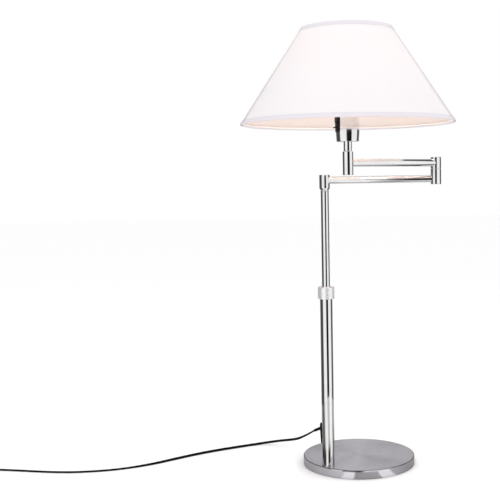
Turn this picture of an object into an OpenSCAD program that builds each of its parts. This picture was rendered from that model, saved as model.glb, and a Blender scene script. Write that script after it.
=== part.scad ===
// Swing-arm table lamp. A weighted disc base carries a telescopic post near its rim, two folding arms
// and an empire shade on a threaded lampholder. Millimetres, +Z up, origin on the floor under the
// centre of the base. At rest the lower arm points to +X and the upper arm folds back over it.

/* [Base] */
// Diameter of the base disc
base_d = 230; // [200:1:300]
// Height of the top of the base above the floor
base_h = 18; // [14:0.5:28]
// Wall of the pressed steel base cover
cover_wall = 1.5; // [1:0.1:2.5]
// Width of the bevel round the top edge of the base
base_bevel = 0.8; // [0.3:0.1:1.2]
// Thickness of the felt under the base
felt_t = 1.5; // [1:0.1:3]
// Distance of the post axis inside the rim
post_inset = 17.3; // [15:0.1:60]
// Direction of the post from the centre of the base, in degrees
post_azimuth = 228.3; // [0:0.1:360]

/* [Post] */
// Outside diameter of the fixed post tube
outer_d = 25; // [22:0.5:30]
// Wall of the fixed post tube
outer_wall = 1.2; // [0.8:0.1:1.6]
// Height of the foot of the locking collar above the base
collar_rise = 336; // [250:1:420]
// Outside diameter of the sliding tube
inner_d = 16; // [14:0.5:17]
// Wall of the sliding tube
inner_wall = 1; // [0.8:0.1:1.5]
// Length of sliding tube that shows at rest
inner_show = 190; // [185:1:230]
// Length of sliding tube hidden in the post at rest
inner_hidden = 86; // [80:1:110]

/* [Collar] */
// Outside diameter of the locking collar
collar_d = 33; // [32:0.5:38]
// Height of the locking collar
collar_h = 24; // [24:0.5:32]

/* [Arms] */
// Length of each arm between its joint axes
arm_reach = 217; // [150:1:300]
// Outside diameter of the arm tubes
arm_d = 14; // [12:0.5:14.5]
// Wall of the arm tubes
arm_wall = 1; // [0.8:0.1:1.5]
// Direction of the lower arm at rest, in degrees
lower_angle = -11; // [-40:1:40]
// Direction of the upper arm at rest, in degrees
upper_angle = -143.5; // [-160:0.5:-100]

/* [Joints] */
// Diameter of the swivel head on the post
head_d = 21; // [20:0.5:24]
// Diameter of the elbow knuckles
elbow_d = 20; // [19.5:0.5:24]
// Diameter of the knuckle under the lampholder
stem_d = 19; // [18.5:0.5:22]
// Diameter of the hollow swivel spindles
spindle_d = 10; // [9:0.1:10.4]
// Radial running clearance of the swivels and the slide
run_gap = 0.05; // [0.02:0.01:0.1]

/* [Lampholder] */
// Height of the neck between the knuckle and the lampholder
neck_h = 16; // [10:0.5:30]
// Diameter of the neck
neck_d = 15; // [13:0.5:17]
// Diameter of the lampholder sleeve
holder_d = 42; // [42:0.5:46]
// Height of the lower cup of the lampholder
cup_h = 16; // [12:0.5:20]
// Height of the lampholder sleeve
sleeve_h = 35; // [32:0.5:45]
// Direction that the switch faces, in degrees
switch_azimuth = 200; // [0:1:360]

/* [Shade] */
// Diameter of the bottom of the shade
shade_bottom_d = 380; // [300:1:460]
// Diameter of the top of the shade
shade_top_d = 160; // [140:1:200]
// Upright height of the shade
shade_h = 167; // [150:1:220]
// Height of the shade rim above the bottom of the lampholder
rim_rise = 32; // [20:1:36]
// Level thickness of the shade fabric
fabric_t = 0.9; // [0.6:0.1:1.5]
// Level thickness of the stiff shade lining
liner_t = 0.6; // [0.4:0.1:1]
// Height of the hem tapes of the shade
hem_h = 8; // [5:0.5:12]

/* [Bulb] */
// Diameter of the bulb
bulb_d = 60; // [45:1:70]
// Length of the bulb glass above its cap
bulb_h = 84; // [70:1:95]

/* [Mains lead] */
// Width of the flat mains lead
lead_w = 5.4; // [5:0.1:5.6]
// Thickness of the flat mains lead
lead_t = 3.4; // [3:0.1:3.6]
// Direction of the lead outlet on the post, in degrees
outlet_azimuth = 155; // [140:1:170]
// Height of the lead outlet above the base
outlet_rise = 75; // [70:1:80]

/* [Hidden] */
$fn = 72;

// General allowances
cut = 1;              // overshoot of a cutting tool
seat_gap = 0.3;       // space between parts that move past each other
edge = 0.5;           // chamfer on the ends of the knuckles
core_r = 1.7;         // radius of the round inner lead
bend_r = 1.9;         // its radius at a bend
lead_side = 3.2;      // how far the two passes of the lead in the post stand off its axis
window_r = 3.2;       // lead window in the side of a knuckle
spindle_bore_r = 2.75;
spindle_r = spindle_d / 2;
washer_t = 0.6;
floor_t = 2;          // closed bottom of a knuckle

// Base
base_r = base_d / 2;
cover_lift = 0.6;     // rim of the cover above the floor
weight_gap = 0.2;
stud_r = 5;
stud_gap = 0.3;
recess_r = 15.5;      // pocket for the nut under the weight
recess_h = 8;
foot_washer_t = 2;
foot_washer_r = recess_r - 1.5;
stud_rest = 0.5;      // end of the stud above the felt
foot_nut_h = 5;
foot_nut_r = 9.8;     // corner radius of the hexagon
post_r = base_r - post_inset;
post = [post_r * cos(post_azimuth), post_r * sin(post_azimuth)];

// Post
outer_r = outer_d / 2;
outer_bore_r = outer_r - outer_wall;
inner_r = inner_d / 2;
inner_bore_r = inner_r - inner_wall;
foot_plug_h = 28;
collar_z = base_h + collar_rise;
collar_top = collar_z + collar_h;
tube_top = collar_z + 12;
bush_z = tube_top - 34;
bush_flange_h = 1.5;
bush_nose_h = 6.5;
collar_bore_r = outer_r + run_gap;
inner_bottom = collar_top - inner_hidden;
inner_top = collar_top + inner_show - 1.5;
flange_h = 1.5;       // spindle shoulder on the end of the sliding tube
stop_h = 20;

// Swivel head on the post, and the heights of the arms
head_z = inner_top + flange_h + washer_t + run_gap;
head_h = 30;
head_taper_h = 4;
arm_z = head_z + 19.4;
arm_r = arm_d / 2;
arm_bore_r = arm_r - arm_wall;
head_r = head_d / 2;
head_cavity_r = 8.3;
head_cavity_z = head_z + 11.4;
head_cap_t = 1.5;
nut_h = 4;
nut_r = 7.5;          // corner radius of the small hexagon nuts

// Elbow
elbow_r = elbow_d / 2;
elbow_cavity_r = 7.8;
elbow_z = arm_z - 11;
elbow_seam = elbow_z + 30;
elbow_grip = 10;      // length of spindle pressed into the lower knuckle
upper_z = elbow_seam + 11;
elbow_upper_z = elbow_seam + washer_t + run_gap;
elbow_bearing = 6;
elbow_top = elbow_seam + 22;
elbow_cap_t = 2.8;
groove = 0.6;         // depth of the grooves at the washer and under the cap
elbow = post + arm_reach * [cos(lower_angle), sin(lower_angle)];

// Stem under the lampholder
stem_r = stem_d / 2;
stem_cavity_r = 7.3;
stem_z = arm_z + arm_r + 1;
stem_top = upper_z + 21;
stem_roof = 4.5;
stem = elbow + arm_reach * [cos(upper_angle), sin(upper_angle)];
nipple_r = 5;
nipple_bore_r = 3.4;
neck_r = neck_d / 2;

// Lampholder
holder_z = stem_top + neck_h;
sheet_t = 1;
holder_r = holder_d / 2;
cup_foot_r = holder_r - 1;
cup_corner = 1.5;
sleeve_z = holder_z + cup_h;
sleeve_top = sleeve_z + sleeve_h;
core_foot_r = 16;
core_thread_r = 18.4;
shell_drop = 16;        // drop of the foot of the screw shell below the top of the sleeve
core_sink = 3;        // foot of the core below the seam
core_top = sleeve_top + 16;
shell_r = 14.2;
shell_bore_r = 13.6;
shell_h = 26;
shell_z = sleeve_top - shell_drop;
switch_w = 20;
switch_h = 26;
switch_z = sleeve_z + 1.5;
switch_inner_r = 17.6;
switch_lower_r = holder_r + 1;
switch_upper_r = holder_r + 2;
lever_r = holder_r - 1.5;
lever_z = switch_z + 9;
rotor_r = 3;
rotor_w = 4.4;
trunnion_r = 1.2;
trunnion_w = 9;
lever_tilt = 15;
lever_reach = 7.5;

// Shade
ring_nut_h = 4;
ring_nut_r = 22.5;
fitter_t = 1.5;
fitter_r = 26;
fitter_z = sleeve_top + ring_nut_h;
carrier_wire_r = 1.5;
rim_z = holder_z + rim_rise;
shade_top = rim_z + shade_h;
shade_r0 = shade_bottom_d / 2;
shade_r1 = shade_top_d / 2;
shade_slope = (shade_r1 - shade_r0) / shade_h;
wall_t = fabric_t + liner_t;
tape_t = 0.5;
hoop_r = 1.4;
hoop_drop = 2.4;      // hoop centre inside the end of the shade
slant = sqrt(1 + shade_slope * shade_slope);

// Bulb
cap_r = 13.2;
cap_z = shell_z + 4;
cap_h = 22;
glass_t = 0.8;
contact_h = 1.2;      // centre contact below the cap
neck_l = 9;           // straight neck of the bulb
glass_z = cap_z + cap_h;
bulb_r = bulb_d / 2;
bulb_centre = glass_z + bulb_h - bulb_r;
shoulder = -38;       // angle at which the neck leaves the round of the bulb

// Lead outlet: a tapered nozzle that points down and away from the post
outlet_z = base_h + outlet_rise;
nozzle_root_r = outer_r + 0.5;
nozzle_azimuth = 150;
nozzle_dip = 25;
nozzle_l = 20;
grommet_w = 11;
grommet_bottom = outlet_z - 33;
grommet_top = outlet_z + 10;
nozzle_r = 4;
nozzle_tip_r = 3;
slot_w = 7;           // slot in the post for the lead
slot_h = 14;
slot_fit = 0.1;
function level_dir(angle) = [cos(angle), sin(angle), 0];
nozzle_root = [post[0], post[1], outlet_z] + nozzle_root_r * level_dir(outlet_azimuth);
nozzle_dir = cos(nozzle_dip) * level_dir(nozzle_azimuth) - [0, 0, sin(nozzle_dip)];
nozzle_tip = nozzle_root + nozzle_l * nozzle_dir;

// Route of the lead along the floor: place of its centre, and how far the flat lead is rolled on edge
lead_route = [[-106, -36, 71, 40], [-117, 0, 56, 60], [-128, 44, 40, 75], [-143, 90, 25, 85],
    [-165, 127, 13, 90], [-196, 143, 5, 90], [-230, 134, 2.8, 90], [-270, 114, 2.8, 90],
    [-310, 92, 2.8, 85],
    [-350, 66, 2.7, 70], [-390, 36, 2.5, 50], [-430, 6, 2.2, 30], [-470, -16, 1.9, 10], [-510, -31, 1.8, 0],
    [-550, -39, 1.8, 0], [-590, -42, 1.8, 0], [-630, -39, 1.8, 0], [-670, -32, 1.8, 0], [-710, -24, 1.8, 0],
    [-750, -17, 1.8, 0], [-780, -13, 1.8, 0], [-800, -12, 1.8, 0]];
coil_centre = [-815, 23];
coil_r = 30;
coil_half_w = 8.4;
coil_lift = 0.7;
coil_h = 6.9;
tie_t = 0.6;
tie_w = 12;
tie_fit = 0.1;
tie_azimuth = 60;
plug_x = -851;
tail_route = [[-851, 31, 5.2, 0], [-851, 40, 5.4, 0], [-851, 51, 6.2, 0], [-851, 62, 6.8, 0]];
plug_y = 62;
plug_relief_l = 14;
plug_relief_r = 3.2;
plug_l = 35;
plug_w = 26;
plug_tail_w = 15;
plug_t = 13.6;
pin_r = 2;
pin_l = 19;
pin_pitch = 18.6;

// Places
module at_post() translate([post[0], post[1], 0]) children();
module at_elbow() translate([elbow[0], elbow[1], 0]) children();
module at_stem() translate([stem[0], stem[1], 0]) children();

// Shapes that repeat
module pipe(r_out, r_in, h) {
    difference() {
        cylinder(r = r_out, h = h);
        translate([0, 0, -cut]) cylinder(r = r_in, h = h + 2 * cut);
    }
}

module hex_nut(r_corner, r_bore, h) {
    difference() {
        cylinder(r = r_corner, h = h, $fn = 6);
        translate([0, 0, -cut]) cylinder(r = r_bore, h = h + 2 * cut);
    }
}

module spindle(r_pin, h) pipe(r_pin, spindle_bore_r, h);

module window(angle, z, reach) {
    rotate([0, 0, angle]) translate([0, 0, z]) rotate([0, 90, 0]) cylinder(r = window_r, h = reach);
}

// An arm tube, saddle-cut against the knuckles at both its ends
module arm_tube(z, r_near, r_far) {
    difference() {
        translate([0, 0, z]) rotate([0, 90, 0]) pipe(arm_r, arm_bore_r, arm_reach);
        translate([0, 0, z - arm_d]) cylinder(r = r_near, h = 2 * arm_d);
        translate([arm_reach, 0, z - arm_d]) cylinder(r = r_far, h = 2 * arm_d);
    }
}

// A round lead laid straight from point to point, with ball corners
module round_lead(points) {
    for (i = [0 : len(points) - 2]) {
        step = points[i + 1] - points[i];
        length = norm(step);
        translate(points[i]) rotate([0, acos(step[2] / length), atan2(step[1], step[0])])
            cylinder(r = core_r, h = length, $fn = 24);
    }
    for (i = [1 : 1 : len(points) - 2]) translate(points[i]) sphere(r = bend_r, $fn = 24);
}

// The flat lead: an oval section swept along a smooth curve through a list of points
lead_steps = 3;
lead_sides = 8;
function blend_at(a, b, c, d, t) =
    0.5 * (2 * b + (c - a) * t + (2 * a - 5 * b + 4 * c - d) * t * t + (3 * b - a - 3 * c + d) * t * t * t);
function curve(p) = [for (i = [0 : len(p) - 2], k = [0 : lead_steps - 1])
    blend_at(p[max(i - 1, 0)], p[i], p[i + 1], p[min(i + 2, len(p) - 1)], k / lead_steps), p[len(p) - 1]];
function place(q) = [q[0], q[1], q[2]];
function heading(c, i) = let (d = place(c[min(i + 1, len(c) - 1)]) - place(c[max(i - 1, 0)])) d / norm(d);
function oval(c, i) = let (t = heading(c, i), side = cross(t, [0, 0, 1]) / norm(cross(t, [0, 0, 1])),
    up = cross(side, t), turn = c[i][3])
    [for (k = [0 : lead_sides - 1])
        let (a = 360 * k / lead_sides, u = lead_w / 2 * cos(a), v = lead_t / 2 * sin(a))
        place(c[i]) + (u * cos(turn) - v * sin(turn)) * side + (u * sin(turn) + v * cos(turn)) * up];

module flat_lead(route) {
    c = curve(route);
    n = len(c);
    m = lead_sides;
    points = [for (i = [0 : n - 1]) each oval(c, i)];
    walls = [for (i = [0 : n - 2], k = [0 : m - 1]) let (a = i * m + k, b = i * m + (k + 1) % m)
        each [[a, b, b + m], [a, b + m, a + m]]];
    first = [for (k = [m - 1 : -1 : 0]) k];
    last = [for (k = [0 : m - 1]) (n - 1) * m + k];
    polyhedron(points = points, faces = concat(walls, [first, last]));
}

// Base
module base_felt() {
    color("dimgray") cylinder(r = base_r - cover_wall - 1, h = felt_t);
}

module base_cover() {
    color("silver") difference() {
        rotate_extrude() polygon([[0, base_h], [0, base_h - cover_wall],
            [base_r - cover_wall, base_h - cover_wall], [base_r - cover_wall, cover_lift],
            [base_r, cover_lift], [base_r, base_h - base_bevel], [base_r - base_bevel, base_h]]);
        at_post() cylinder(r = stud_r + stud_gap, h = base_h + cut);
    }
}

module base_weight() {
    color("slategray") difference() {
        translate([0, 0, felt_t])
            cylinder(r = base_r - cover_wall - weight_gap, h = base_h - cover_wall - felt_t);
        at_post() cylinder(r = stud_r + stud_gap, h = base_h);
        at_post() translate([0, 0, felt_t - cut]) cylinder(r = recess_r, h = recess_h + cut);
    }
}

module foot_washer() {
    color("gainsboro") at_post() translate([0, 0, felt_t + recess_h - foot_washer_t])
        pipe(foot_washer_r, stud_r, foot_washer_t);
}

module foot_nut() {
    color("gainsboro") at_post() translate([0, 0, felt_t + recess_h - foot_washer_t - foot_nut_h])
        hex_nut(foot_nut_r, stud_r, foot_nut_h);
}

module tube_foot() {
    color("gainsboro") at_post() {
        translate([0, 0, felt_t + stud_rest]) cylinder(r = stud_r, h = base_h - felt_t);
        translate([0, 0, base_h]) cylinder(r = outer_bore_r, h = foot_plug_h);
    }
}

// Post
module outer_tube() {
    color("silver") difference() {
        at_post() translate([0, 0, base_h]) pipe(outer_r, outer_bore_r, tube_top - base_h);
        at_post() rotate([0, 0, outlet_azimuth]) translate([0, -slot_w / 2, outlet_z - slot_h / 2])
            cube([outer_r + cut, slot_w, slot_h]);
    }
}

module lead_grommet() {
    lean = 3;
    nose = 4;             // how far the top of the strip stands off the post, before it is trimmed
    foot = 1.2;           // how far its bottom stands off
    tongue_w = slot_w - 2 * slot_fit;
    tongue_h = slot_h - 2 * slot_fit;
    color("black") at_post() rotate([0, 0, outlet_azimuth]) {
        difference() {
            union() {
                translate([0, -grommet_w / 2, grommet_bottom + grommet_w / 2])
                    cube([outer_r + nose, grommet_w, grommet_top - grommet_bottom - grommet_w]);
                for (z = [grommet_bottom + grommet_w / 2, grommet_top - grommet_w / 2])
                    translate([0, 0, z]) rotate([0, 90, 0]) cylinder(d = grommet_w, h = outer_r + nose);
            }
            translate([0, 0, grommet_bottom - cut])
                cylinder(r = outer_r, h = grommet_top - grommet_bottom + 2 * cut);
            translate([outer_r + foot, -grommet_w, grommet_bottom]) rotate([0, lean, 0])
                translate([0, 0, -20]) cube([20, 2 * grommet_w, 90]);
        }
        translate([outer_bore_r - 1, -tongue_w / 2, outlet_z - tongue_h / 2])
            cube([outer_wall + foot, tongue_w, tongue_h]);
    }
}

module strain_relief() {
    color("black") difference() {
        translate(nozzle_root) rotate([0, 90 + nozzle_dip, nozzle_azimuth])
            cylinder(r1 = nozzle_r, r2 = nozzle_tip_r, h = nozzle_l);
        at_post() translate([0, 0, outlet_z - nozzle_l]) cylinder(r = outer_r, h = 2 * nozzle_l);
    }
}

module guide_bush() {
    nose_z = tube_top + bush_flange_h;
    slit = 1.2;
    color("whitesmoke") at_post() difference() {
        union() {
            translate([0, 0, bush_z]) cylinder(r = outer_bore_r, h = tube_top - bush_z);
            translate([0, 0, tube_top]) cylinder(r = outer_r - 0.5, h = bush_flange_h);
            translate([0, 0, nose_z]) cylinder(r1 = outer_r - 1, r2 = outer_r - 3, h = bush_nose_h);
        }
        translate([0, 0, bush_z - cut])
            cylinder(r = inner_r + run_gap, h = nose_z + bush_nose_h - bush_z + 2 * cut);
        for (k = [0 : 2]) rotate([0, 0, 120 * k]) translate([0, -slit / 2, nose_z])
            cube([outer_r, slit, bush_nose_h + cut]);
    }
}

module base_lead() {
    inlet = outer_bore_r - 1.2;
    color("dimgray") at_post() round_lead([inlet * level_dir(outlet_azimuth) + [0, 0, outlet_z],
        inlet / 2 * level_dir(outlet_azimuth) + [0, 0, outlet_z + 6], [-lead_side, 0, outlet_z + 18],
        [-lead_side, 0, bush_z + 20]]);
}

// Mains lead, coil and plug
module mains_lead() {
    color("black") flat_lead(concat([[nozzle_tip[0], nozzle_tip[1], nozzle_tip[2], 20]], lead_route));
}

module lead_coil() {
    color("black") translate([coil_centre[0], coil_centre[1], coil_lift])
        rotate_extrude() translate([coil_r - coil_half_w, 0]) square([2 * coil_half_w, coil_h]);
}

module lead_tail() {
    color("black") flat_lead(tail_route);
}

module lead_tie() {
    reach = coil_half_w + tie_fit;
    color("black") translate([coil_centre[0], coil_centre[1], 0]) rotate([0, 0, tie_azimuth]) difference() {
        translate([coil_r - reach - tie_t, -tie_w / 2, coil_lift - tie_t])
            cube([2 * (reach + tie_t), tie_w, coil_h + 2 * tie_t]);
        translate([coil_r - reach, -tie_w, coil_lift]) cube([2 * reach, 2 * tie_w, coil_h]);
    }
}

module plug_body() {
    root = plug_y + plug_relief_l;
    face = root + plug_l;
    side = plug_w / 2;
    color("black") {
        translate([plug_x, 0, 0]) linear_extrude(plug_t) polygon([[-plug_tail_w / 2, root],
            [plug_tail_w / 2, root], [side - 2, face - 14], [side, face - 8], [side, face], [-side, face],
            [-side, face - 8], [2 - side, face - 14]]);
        translate([plug_x, plug_y, plug_t / 2]) rotate([-90, 0, 0])
            cylinder(r1 = plug_relief_r, r2 = plug_relief_r + 1.8, h = plug_relief_l);
    }
}

module plug_pins() {
    color("gold") for (side = [-1, 1])
        translate([plug_x + side * pin_pitch / 2, plug_y + plug_relief_l + plug_l, plug_t / 2])
            rotate([-90, 0, 0]) {
                cylinder(r = pin_r, h = pin_l - 1);
                translate([0, 0, pin_l - 1]) cylinder(r1 = pin_r, r2 = pin_r - 0.8, h = 1);
            }
}

// Locking collar: it turns on the post and closes the split nose of the bush on the sliding tube
module lock_collar() {
    r = collar_d / 2;
    nose = tube_top + bush_flange_h + seat_gap;
    color("lightgray") at_post() rotate_extrude() polygon([[collar_bore_r, collar_z], [r - 0.6, collar_z],
        [r, collar_z + 0.6], [r, collar_top - 1.6], [r - 1.6, collar_top], [inner_r + seat_gap, collar_top],
        [inner_r + seat_gap, nose + bush_nose_h + seat_gap], [outer_r - 2.6, nose + bush_nose_h + seat_gap],
        [outer_r - 0.4, nose], [collar_bore_r, nose]]);
}

// Sliding tube
module inner_tube() {
    color("silver") at_post() translate([0, 0, inner_bottom])
        pipe(inner_r, inner_bore_r, inner_top - inner_bottom);
}

module stop_ring() {
    color("whitesmoke") at_post() translate([0, 0, inner_bottom])
        pipe(outer_bore_r - run_gap, inner_r, stop_h);
}

module post_spindle() {
    grip = 22;
    color("gainsboro") at_post() difference() {
        union() {
            translate([0, 0, inner_top - grip]) cylinder(r = inner_bore_r, h = grip);
            translate([0, 0, inner_top]) cylinder(r = inner_r, h = flange_h);
            translate([0, 0, inner_top]) cylinder(r = spindle_r, h = head_cavity_z + nut_h + 2 - inner_top);
        }
        translate([0, 0, inner_top - grip - cut]) cylinder(r = spindle_bore_r, h = 80);
    }
}

module post_washer() {
    color("ivory") at_post() translate([0, 0, inner_top + flange_h]) pipe(inner_r, spindle_r, washer_t);
}

module post_nut() {
    color("gainsboro") at_post() translate([0, 0, head_cavity_z + run_gap])
        hex_nut(nut_r, spindle_r, nut_h);
}

module post_lead() {
    color("dimgray") at_post() round_lead([[lead_side, 0, inner_bottom + 2], [lead_side, 0, inner_top - 38],
        [0, 0, inner_top - 24], [0, 0, arm_z]]);
}

// Lower arm
module swivel_head() {
    top = head_z + head_h - head_cap_t;
    color("silver") at_post() difference() {
        rotate_extrude() polygon([[spindle_r + run_gap, head_z], [inner_r + 0.2, head_z],
            [head_r, head_z + head_taper_h], [head_r, top], [head_cavity_r, top],
            [head_cavity_r, head_cavity_z], [spindle_r + run_gap, head_cavity_z]]);
        window(lower_angle, arm_z, head_r + cut);
    }
}

module swivel_cap() {
    top = head_z + head_h;
    rim = top - head_cap_t;
    color("silver") at_post() rotate_extrude() polygon([[0, rim - 2], [head_cavity_r, rim - 2],
        [head_cavity_r, rim], [head_r, rim], [head_r, top - edge], [head_r - edge, top], [0, top]]);
}

module lower_arm_tube() {
    color("silver") at_post() rotate([0, 0, lower_angle]) arm_tube(arm_z, head_r, elbow_r);
}

module elbow_lower_knuckle() {
    color("silver") at_elbow() difference() {
        rotate_extrude() polygon([[0, elbow_z], [elbow_r - edge, elbow_z], [elbow_r, elbow_z + edge],
            [elbow_r, elbow_seam], [spindle_r, elbow_seam], [spindle_r, elbow_seam - elbow_grip],
            [elbow_cavity_r, elbow_seam - elbow_grip], [elbow_cavity_r, elbow_z + floor_t],
            [0, elbow_z + floor_t]]);
        window(lower_angle + 180, arm_z, elbow_r + cut);
    }
}

module elbow_spindle() {
    top = elbow_upper_z + elbow_bearing + nut_h + 2.4;
    color("gainsboro") at_elbow() translate([0, 0, elbow_seam - elbow_grip])
        spindle(spindle_r, top - elbow_seam + elbow_grip);
}

module elbow_washer() {
    color("ivory") at_elbow() translate([0, 0, elbow_seam]) pipe(elbow_r - groove, spindle_r, washer_t);
}

module elbow_nut() {
    color("gainsboro") at_elbow() translate([0, 0, elbow_upper_z + elbow_bearing + run_gap])
        hex_nut(nut_r, spindle_r, nut_h);
}

module lower_arm_lead() {
    turn = arm_reach - 5;
    color("dimgray") at_post() rotate([0, 0, lower_angle]) round_lead([[5, 0, arm_z], [turn, 0, arm_z],
        [arm_reach, 0, arm_z + 5], [arm_reach, 0, elbow_top - 7]]);
}

// Upper arm
module elbow_upper_knuckle() {
    top = elbow_top - elbow_cap_t;
    bearing_top = elbow_upper_z + elbow_bearing;
    color("silver") at_elbow() difference() {
        rotate_extrude() polygon([[spindle_r + run_gap, elbow_upper_z], [elbow_r, elbow_upper_z],
            [elbow_r, top], [elbow_cavity_r, top], [elbow_cavity_r, bearing_top],
            [spindle_r + run_gap, bearing_top]]);
        window(upper_angle, upper_z, elbow_r + cut);
    }
}

module elbow_cap() {
    base = elbow_top - elbow_cap_t;
    color("silver") at_elbow() rotate_extrude() polygon([[0, base - 1.5], [elbow_cavity_r, base - 1.5],
        [elbow_cavity_r, base], [elbow_r - groove, base], [elbow_r - groove, base + 0.5],
        [elbow_r, base + 0.9], [elbow_r, elbow_top - edge], [elbow_r - edge, elbow_top], [0, elbow_top]]);
}

module upper_arm_tube() {
    color("silver") at_elbow() rotate([0, 0, upper_angle]) arm_tube(upper_z, elbow_r, stem_r);
}

module stem_knuckle() {
    roof = stem_top - stem_roof;
    crown = 1.2;
    color("silver") at_stem() difference() {
        rotate_extrude() polygon([[0, stem_z], [stem_r - edge, stem_z], [stem_r, stem_z + edge],
            [stem_r, stem_top - crown], [stem_r - crown, stem_top], [nipple_r, stem_top], [nipple_r, roof],
            [stem_cavity_r, roof], [stem_cavity_r, stem_z + floor_t], [0, stem_z + floor_t]]);
        window(upper_angle + 180, upper_z, stem_r + cut);
    }
}

module stem_nipple() {
    foot = stem_top - stem_roof - 8;
    color("gainsboro") at_stem() translate([0, 0, foot]) pipe(nipple_r, nipple_bore_r, holder_z + 9 - foot);
}

module stem_nut() {
    color("gainsboro") at_stem() translate([0, 0, stem_top - stem_roof - nut_h])
        hex_nut(stem_cavity_r - 0.1, nipple_r, nut_h);
}

module neck_tube() {
    color("silver") at_stem() translate([0, 0, stem_top]) pipe(neck_r, nipple_r, neck_h);
}

module upper_arm_lead() {
    turn = arm_reach - 5;
    start = spindle_r + 3.6;
    color("dimgray") at_elbow() rotate([0, 0, upper_angle]) round_lead([[start, 0, upper_z],
        [turn, 0, upper_z], [arm_reach, 0, upper_z + 5], [arm_reach, 0, holder_z + 12]]);
}

// Lampholder
module holder_cup() {
    color("silver") at_stem() translate([0, 0, holder_z]) rotate_extrude() polygon([[nipple_r, 0],
        [cup_foot_r - cup_corner, 0], [cup_foot_r - 0.4, 0.5], [cup_foot_r, cup_corner], [holder_r, cup_h],
        [holder_r - sheet_t, cup_h], [cup_foot_r - sheet_t, cup_corner + 0.4],
        [cup_foot_r - cup_corner - 0.4, sheet_t], [nipple_r, sheet_t]]);
}

module holder_sleeve() {
    color("silver") at_stem() difference() {
        translate([0, 0, sleeve_z]) rotate_extrude() polygon([[holder_r - sheet_t, 0], [holder_r, 0],
            [holder_r, sleeve_h - 1], [holder_r - 1, sleeve_h], [core_thread_r + 0.1, sleeve_h],
            [core_thread_r + 0.1, sleeve_h - sheet_t], [holder_r - sheet_t, sleeve_h - sheet_t]]);
        rotate([0, 0, switch_azimuth]) translate([0, -switch_w / 2, switch_z])
            cube([holder_d, switch_w, switch_h]);
    }
}

module holder_core() {
    foot_z = sleeve_z - core_sink;
    neck_z = sleeve_top - sheet_t;
    color("ivory") at_stem() difference() {
        union() {
            translate([0, 0, foot_z]) cylinder(r = core_foot_r, h = neck_z - foot_z);
            translate([0, 0, sleeve_z]) cylinder(r = holder_r - sheet_t, h = switch_z - sleeve_z);
            translate([0, 0, neck_z]) cylinder(r = core_thread_r, h = core_top - neck_z);
        }
        translate([0, 0, shell_z]) cylinder(r = shell_r, h = core_top);
    }
}

module thread_shell() {
    color("goldenrod") at_stem() translate([0, 0, shell_z]) pipe(shell_r, shell_bore_r, shell_h);
}

module centre_contact() {
    color("goldenrod") at_stem() translate([0, 0, shell_z]) {
        translate([-2.5, -2.5, 0]) cube([11, 5, 0.8]);
        cylinder(r = 2, h = cap_z - contact_h - shell_z);
    }
}

module switch_body() {
    step_h = 14;          // height of the slimmer foot
    swell_h = 4;
    slot = rotor_w + 2 * seat_gap;
    slot_r = rotor_r + seat_gap;
    color("black") at_stem() rotate([0, 0, switch_azimuth]) difference() {
        intersection() {
            translate([0, -switch_w / 2, switch_z]) cube([holder_d, switch_w, switch_h]);
            translate([0, 0, switch_z]) union() {
                cylinder(r = switch_lower_r, h = step_h);
                translate([0, 0, step_h]) cylinder(r1 = switch_lower_r, r2 = switch_upper_r, h = swell_h);
                translate([0, 0, step_h + swell_h])
                    cylinder(r = switch_upper_r, h = switch_h - step_h - swell_h);
            }
        }
        translate([0, 0, switch_z - cut]) cylinder(r = switch_inner_r, h = switch_h + 2 * cut);
        translate([lever_r, 0, lever_z]) rotate([90, 0, 0]) {
            cylinder(r = slot_r, h = slot, center = true);
            cylinder(r = trunnion_r + run_gap, h = trunnion_w + 0.2, center = true);
        }
        translate([0, -slot / 2, lever_z - slot_r]) cube([holder_d, slot, 2 * slot_r]);
    }
}

module switch_lever() {
    thumb_r = 1.2;
    color("black") at_stem() rotate([0, 0, switch_azimuth]) translate([lever_r, 0, lever_z]) {
        rotate([90, 0, 0]) cylinder(r = rotor_r, h = rotor_w, center = true);
        rotate([90, 0, 0]) cylinder(r = trunnion_r, h = trunnion_w, center = true);
        rotate([0, lever_tilt, 0]) {
            translate([0, -rotor_w / 2, -thumb_r]) cube([lever_reach - thumb_r, rotor_w, 2 * thumb_r]);
            translate([lever_reach - thumb_r, 0, 0]) rotate([90, 0, 0])
                cylinder(r = thumb_r, h = rotor_w, center = true);
        }
    }
}

// Shade and its wire carrier
module shade_rings() {
    color("ivory") at_stem() for (z = [sleeve_top, fitter_z + fitter_t])
        translate([0, 0, z]) pipe(ring_nut_r, core_thread_r, ring_nut_h);
}

module shade_carrier() {
    top_z = shade_top - hoop_drop;
    top_r = hoop_radius(top_z);
    foot_r = fitter_r - carrier_wire_r;
    rise = top_z - fitter_z;
    color("white") at_stem() {
        translate([0, 0, fitter_z]) pipe(fitter_r, core_thread_r + 0.2, fitter_t);
        for (k = [0 : 2]) rotate([0, 0, 90 + 120 * k]) translate([foot_r, 0, fitter_z + fitter_t / 2])
            rotate([0, atan2(top_r - foot_r, rise - fitter_t / 2), 0])
                cylinder(r = carrier_wire_r, h = norm([top_r - foot_r, rise - fitter_t / 2]), $fn = 24);
    }
}

// Radius of a hoop's centre line where the hoop touches the lining at height z
function hoop_radius(z) = shade_r0 + shade_slope * (z - rim_z) - wall_t - (hoop_r + 0.05) * slant;

module hoop(z) {
    at_stem() translate([0, 0, z]) rotate_extrude() translate([hoop_radius(z), 0])
        circle(r = hoop_r, $fn = 24);
}

module shade_top_wire() {
    color("white") hoop(shade_top - hoop_drop);
}

module shade_bottom_wire() {
    color("white") hoop(rim_z + hoop_drop);
}

// A conical wall between two offsets inside the outline of the shade
module cone_wall(outer, inner) {
    at_stem() rotate_extrude($fn = 128) polygon([[shade_r0 - outer, rim_z], [shade_r1 - outer, shade_top],
        [shade_r1 - inner, shade_top], [shade_r0 - inner, rim_z]]);
}

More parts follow.
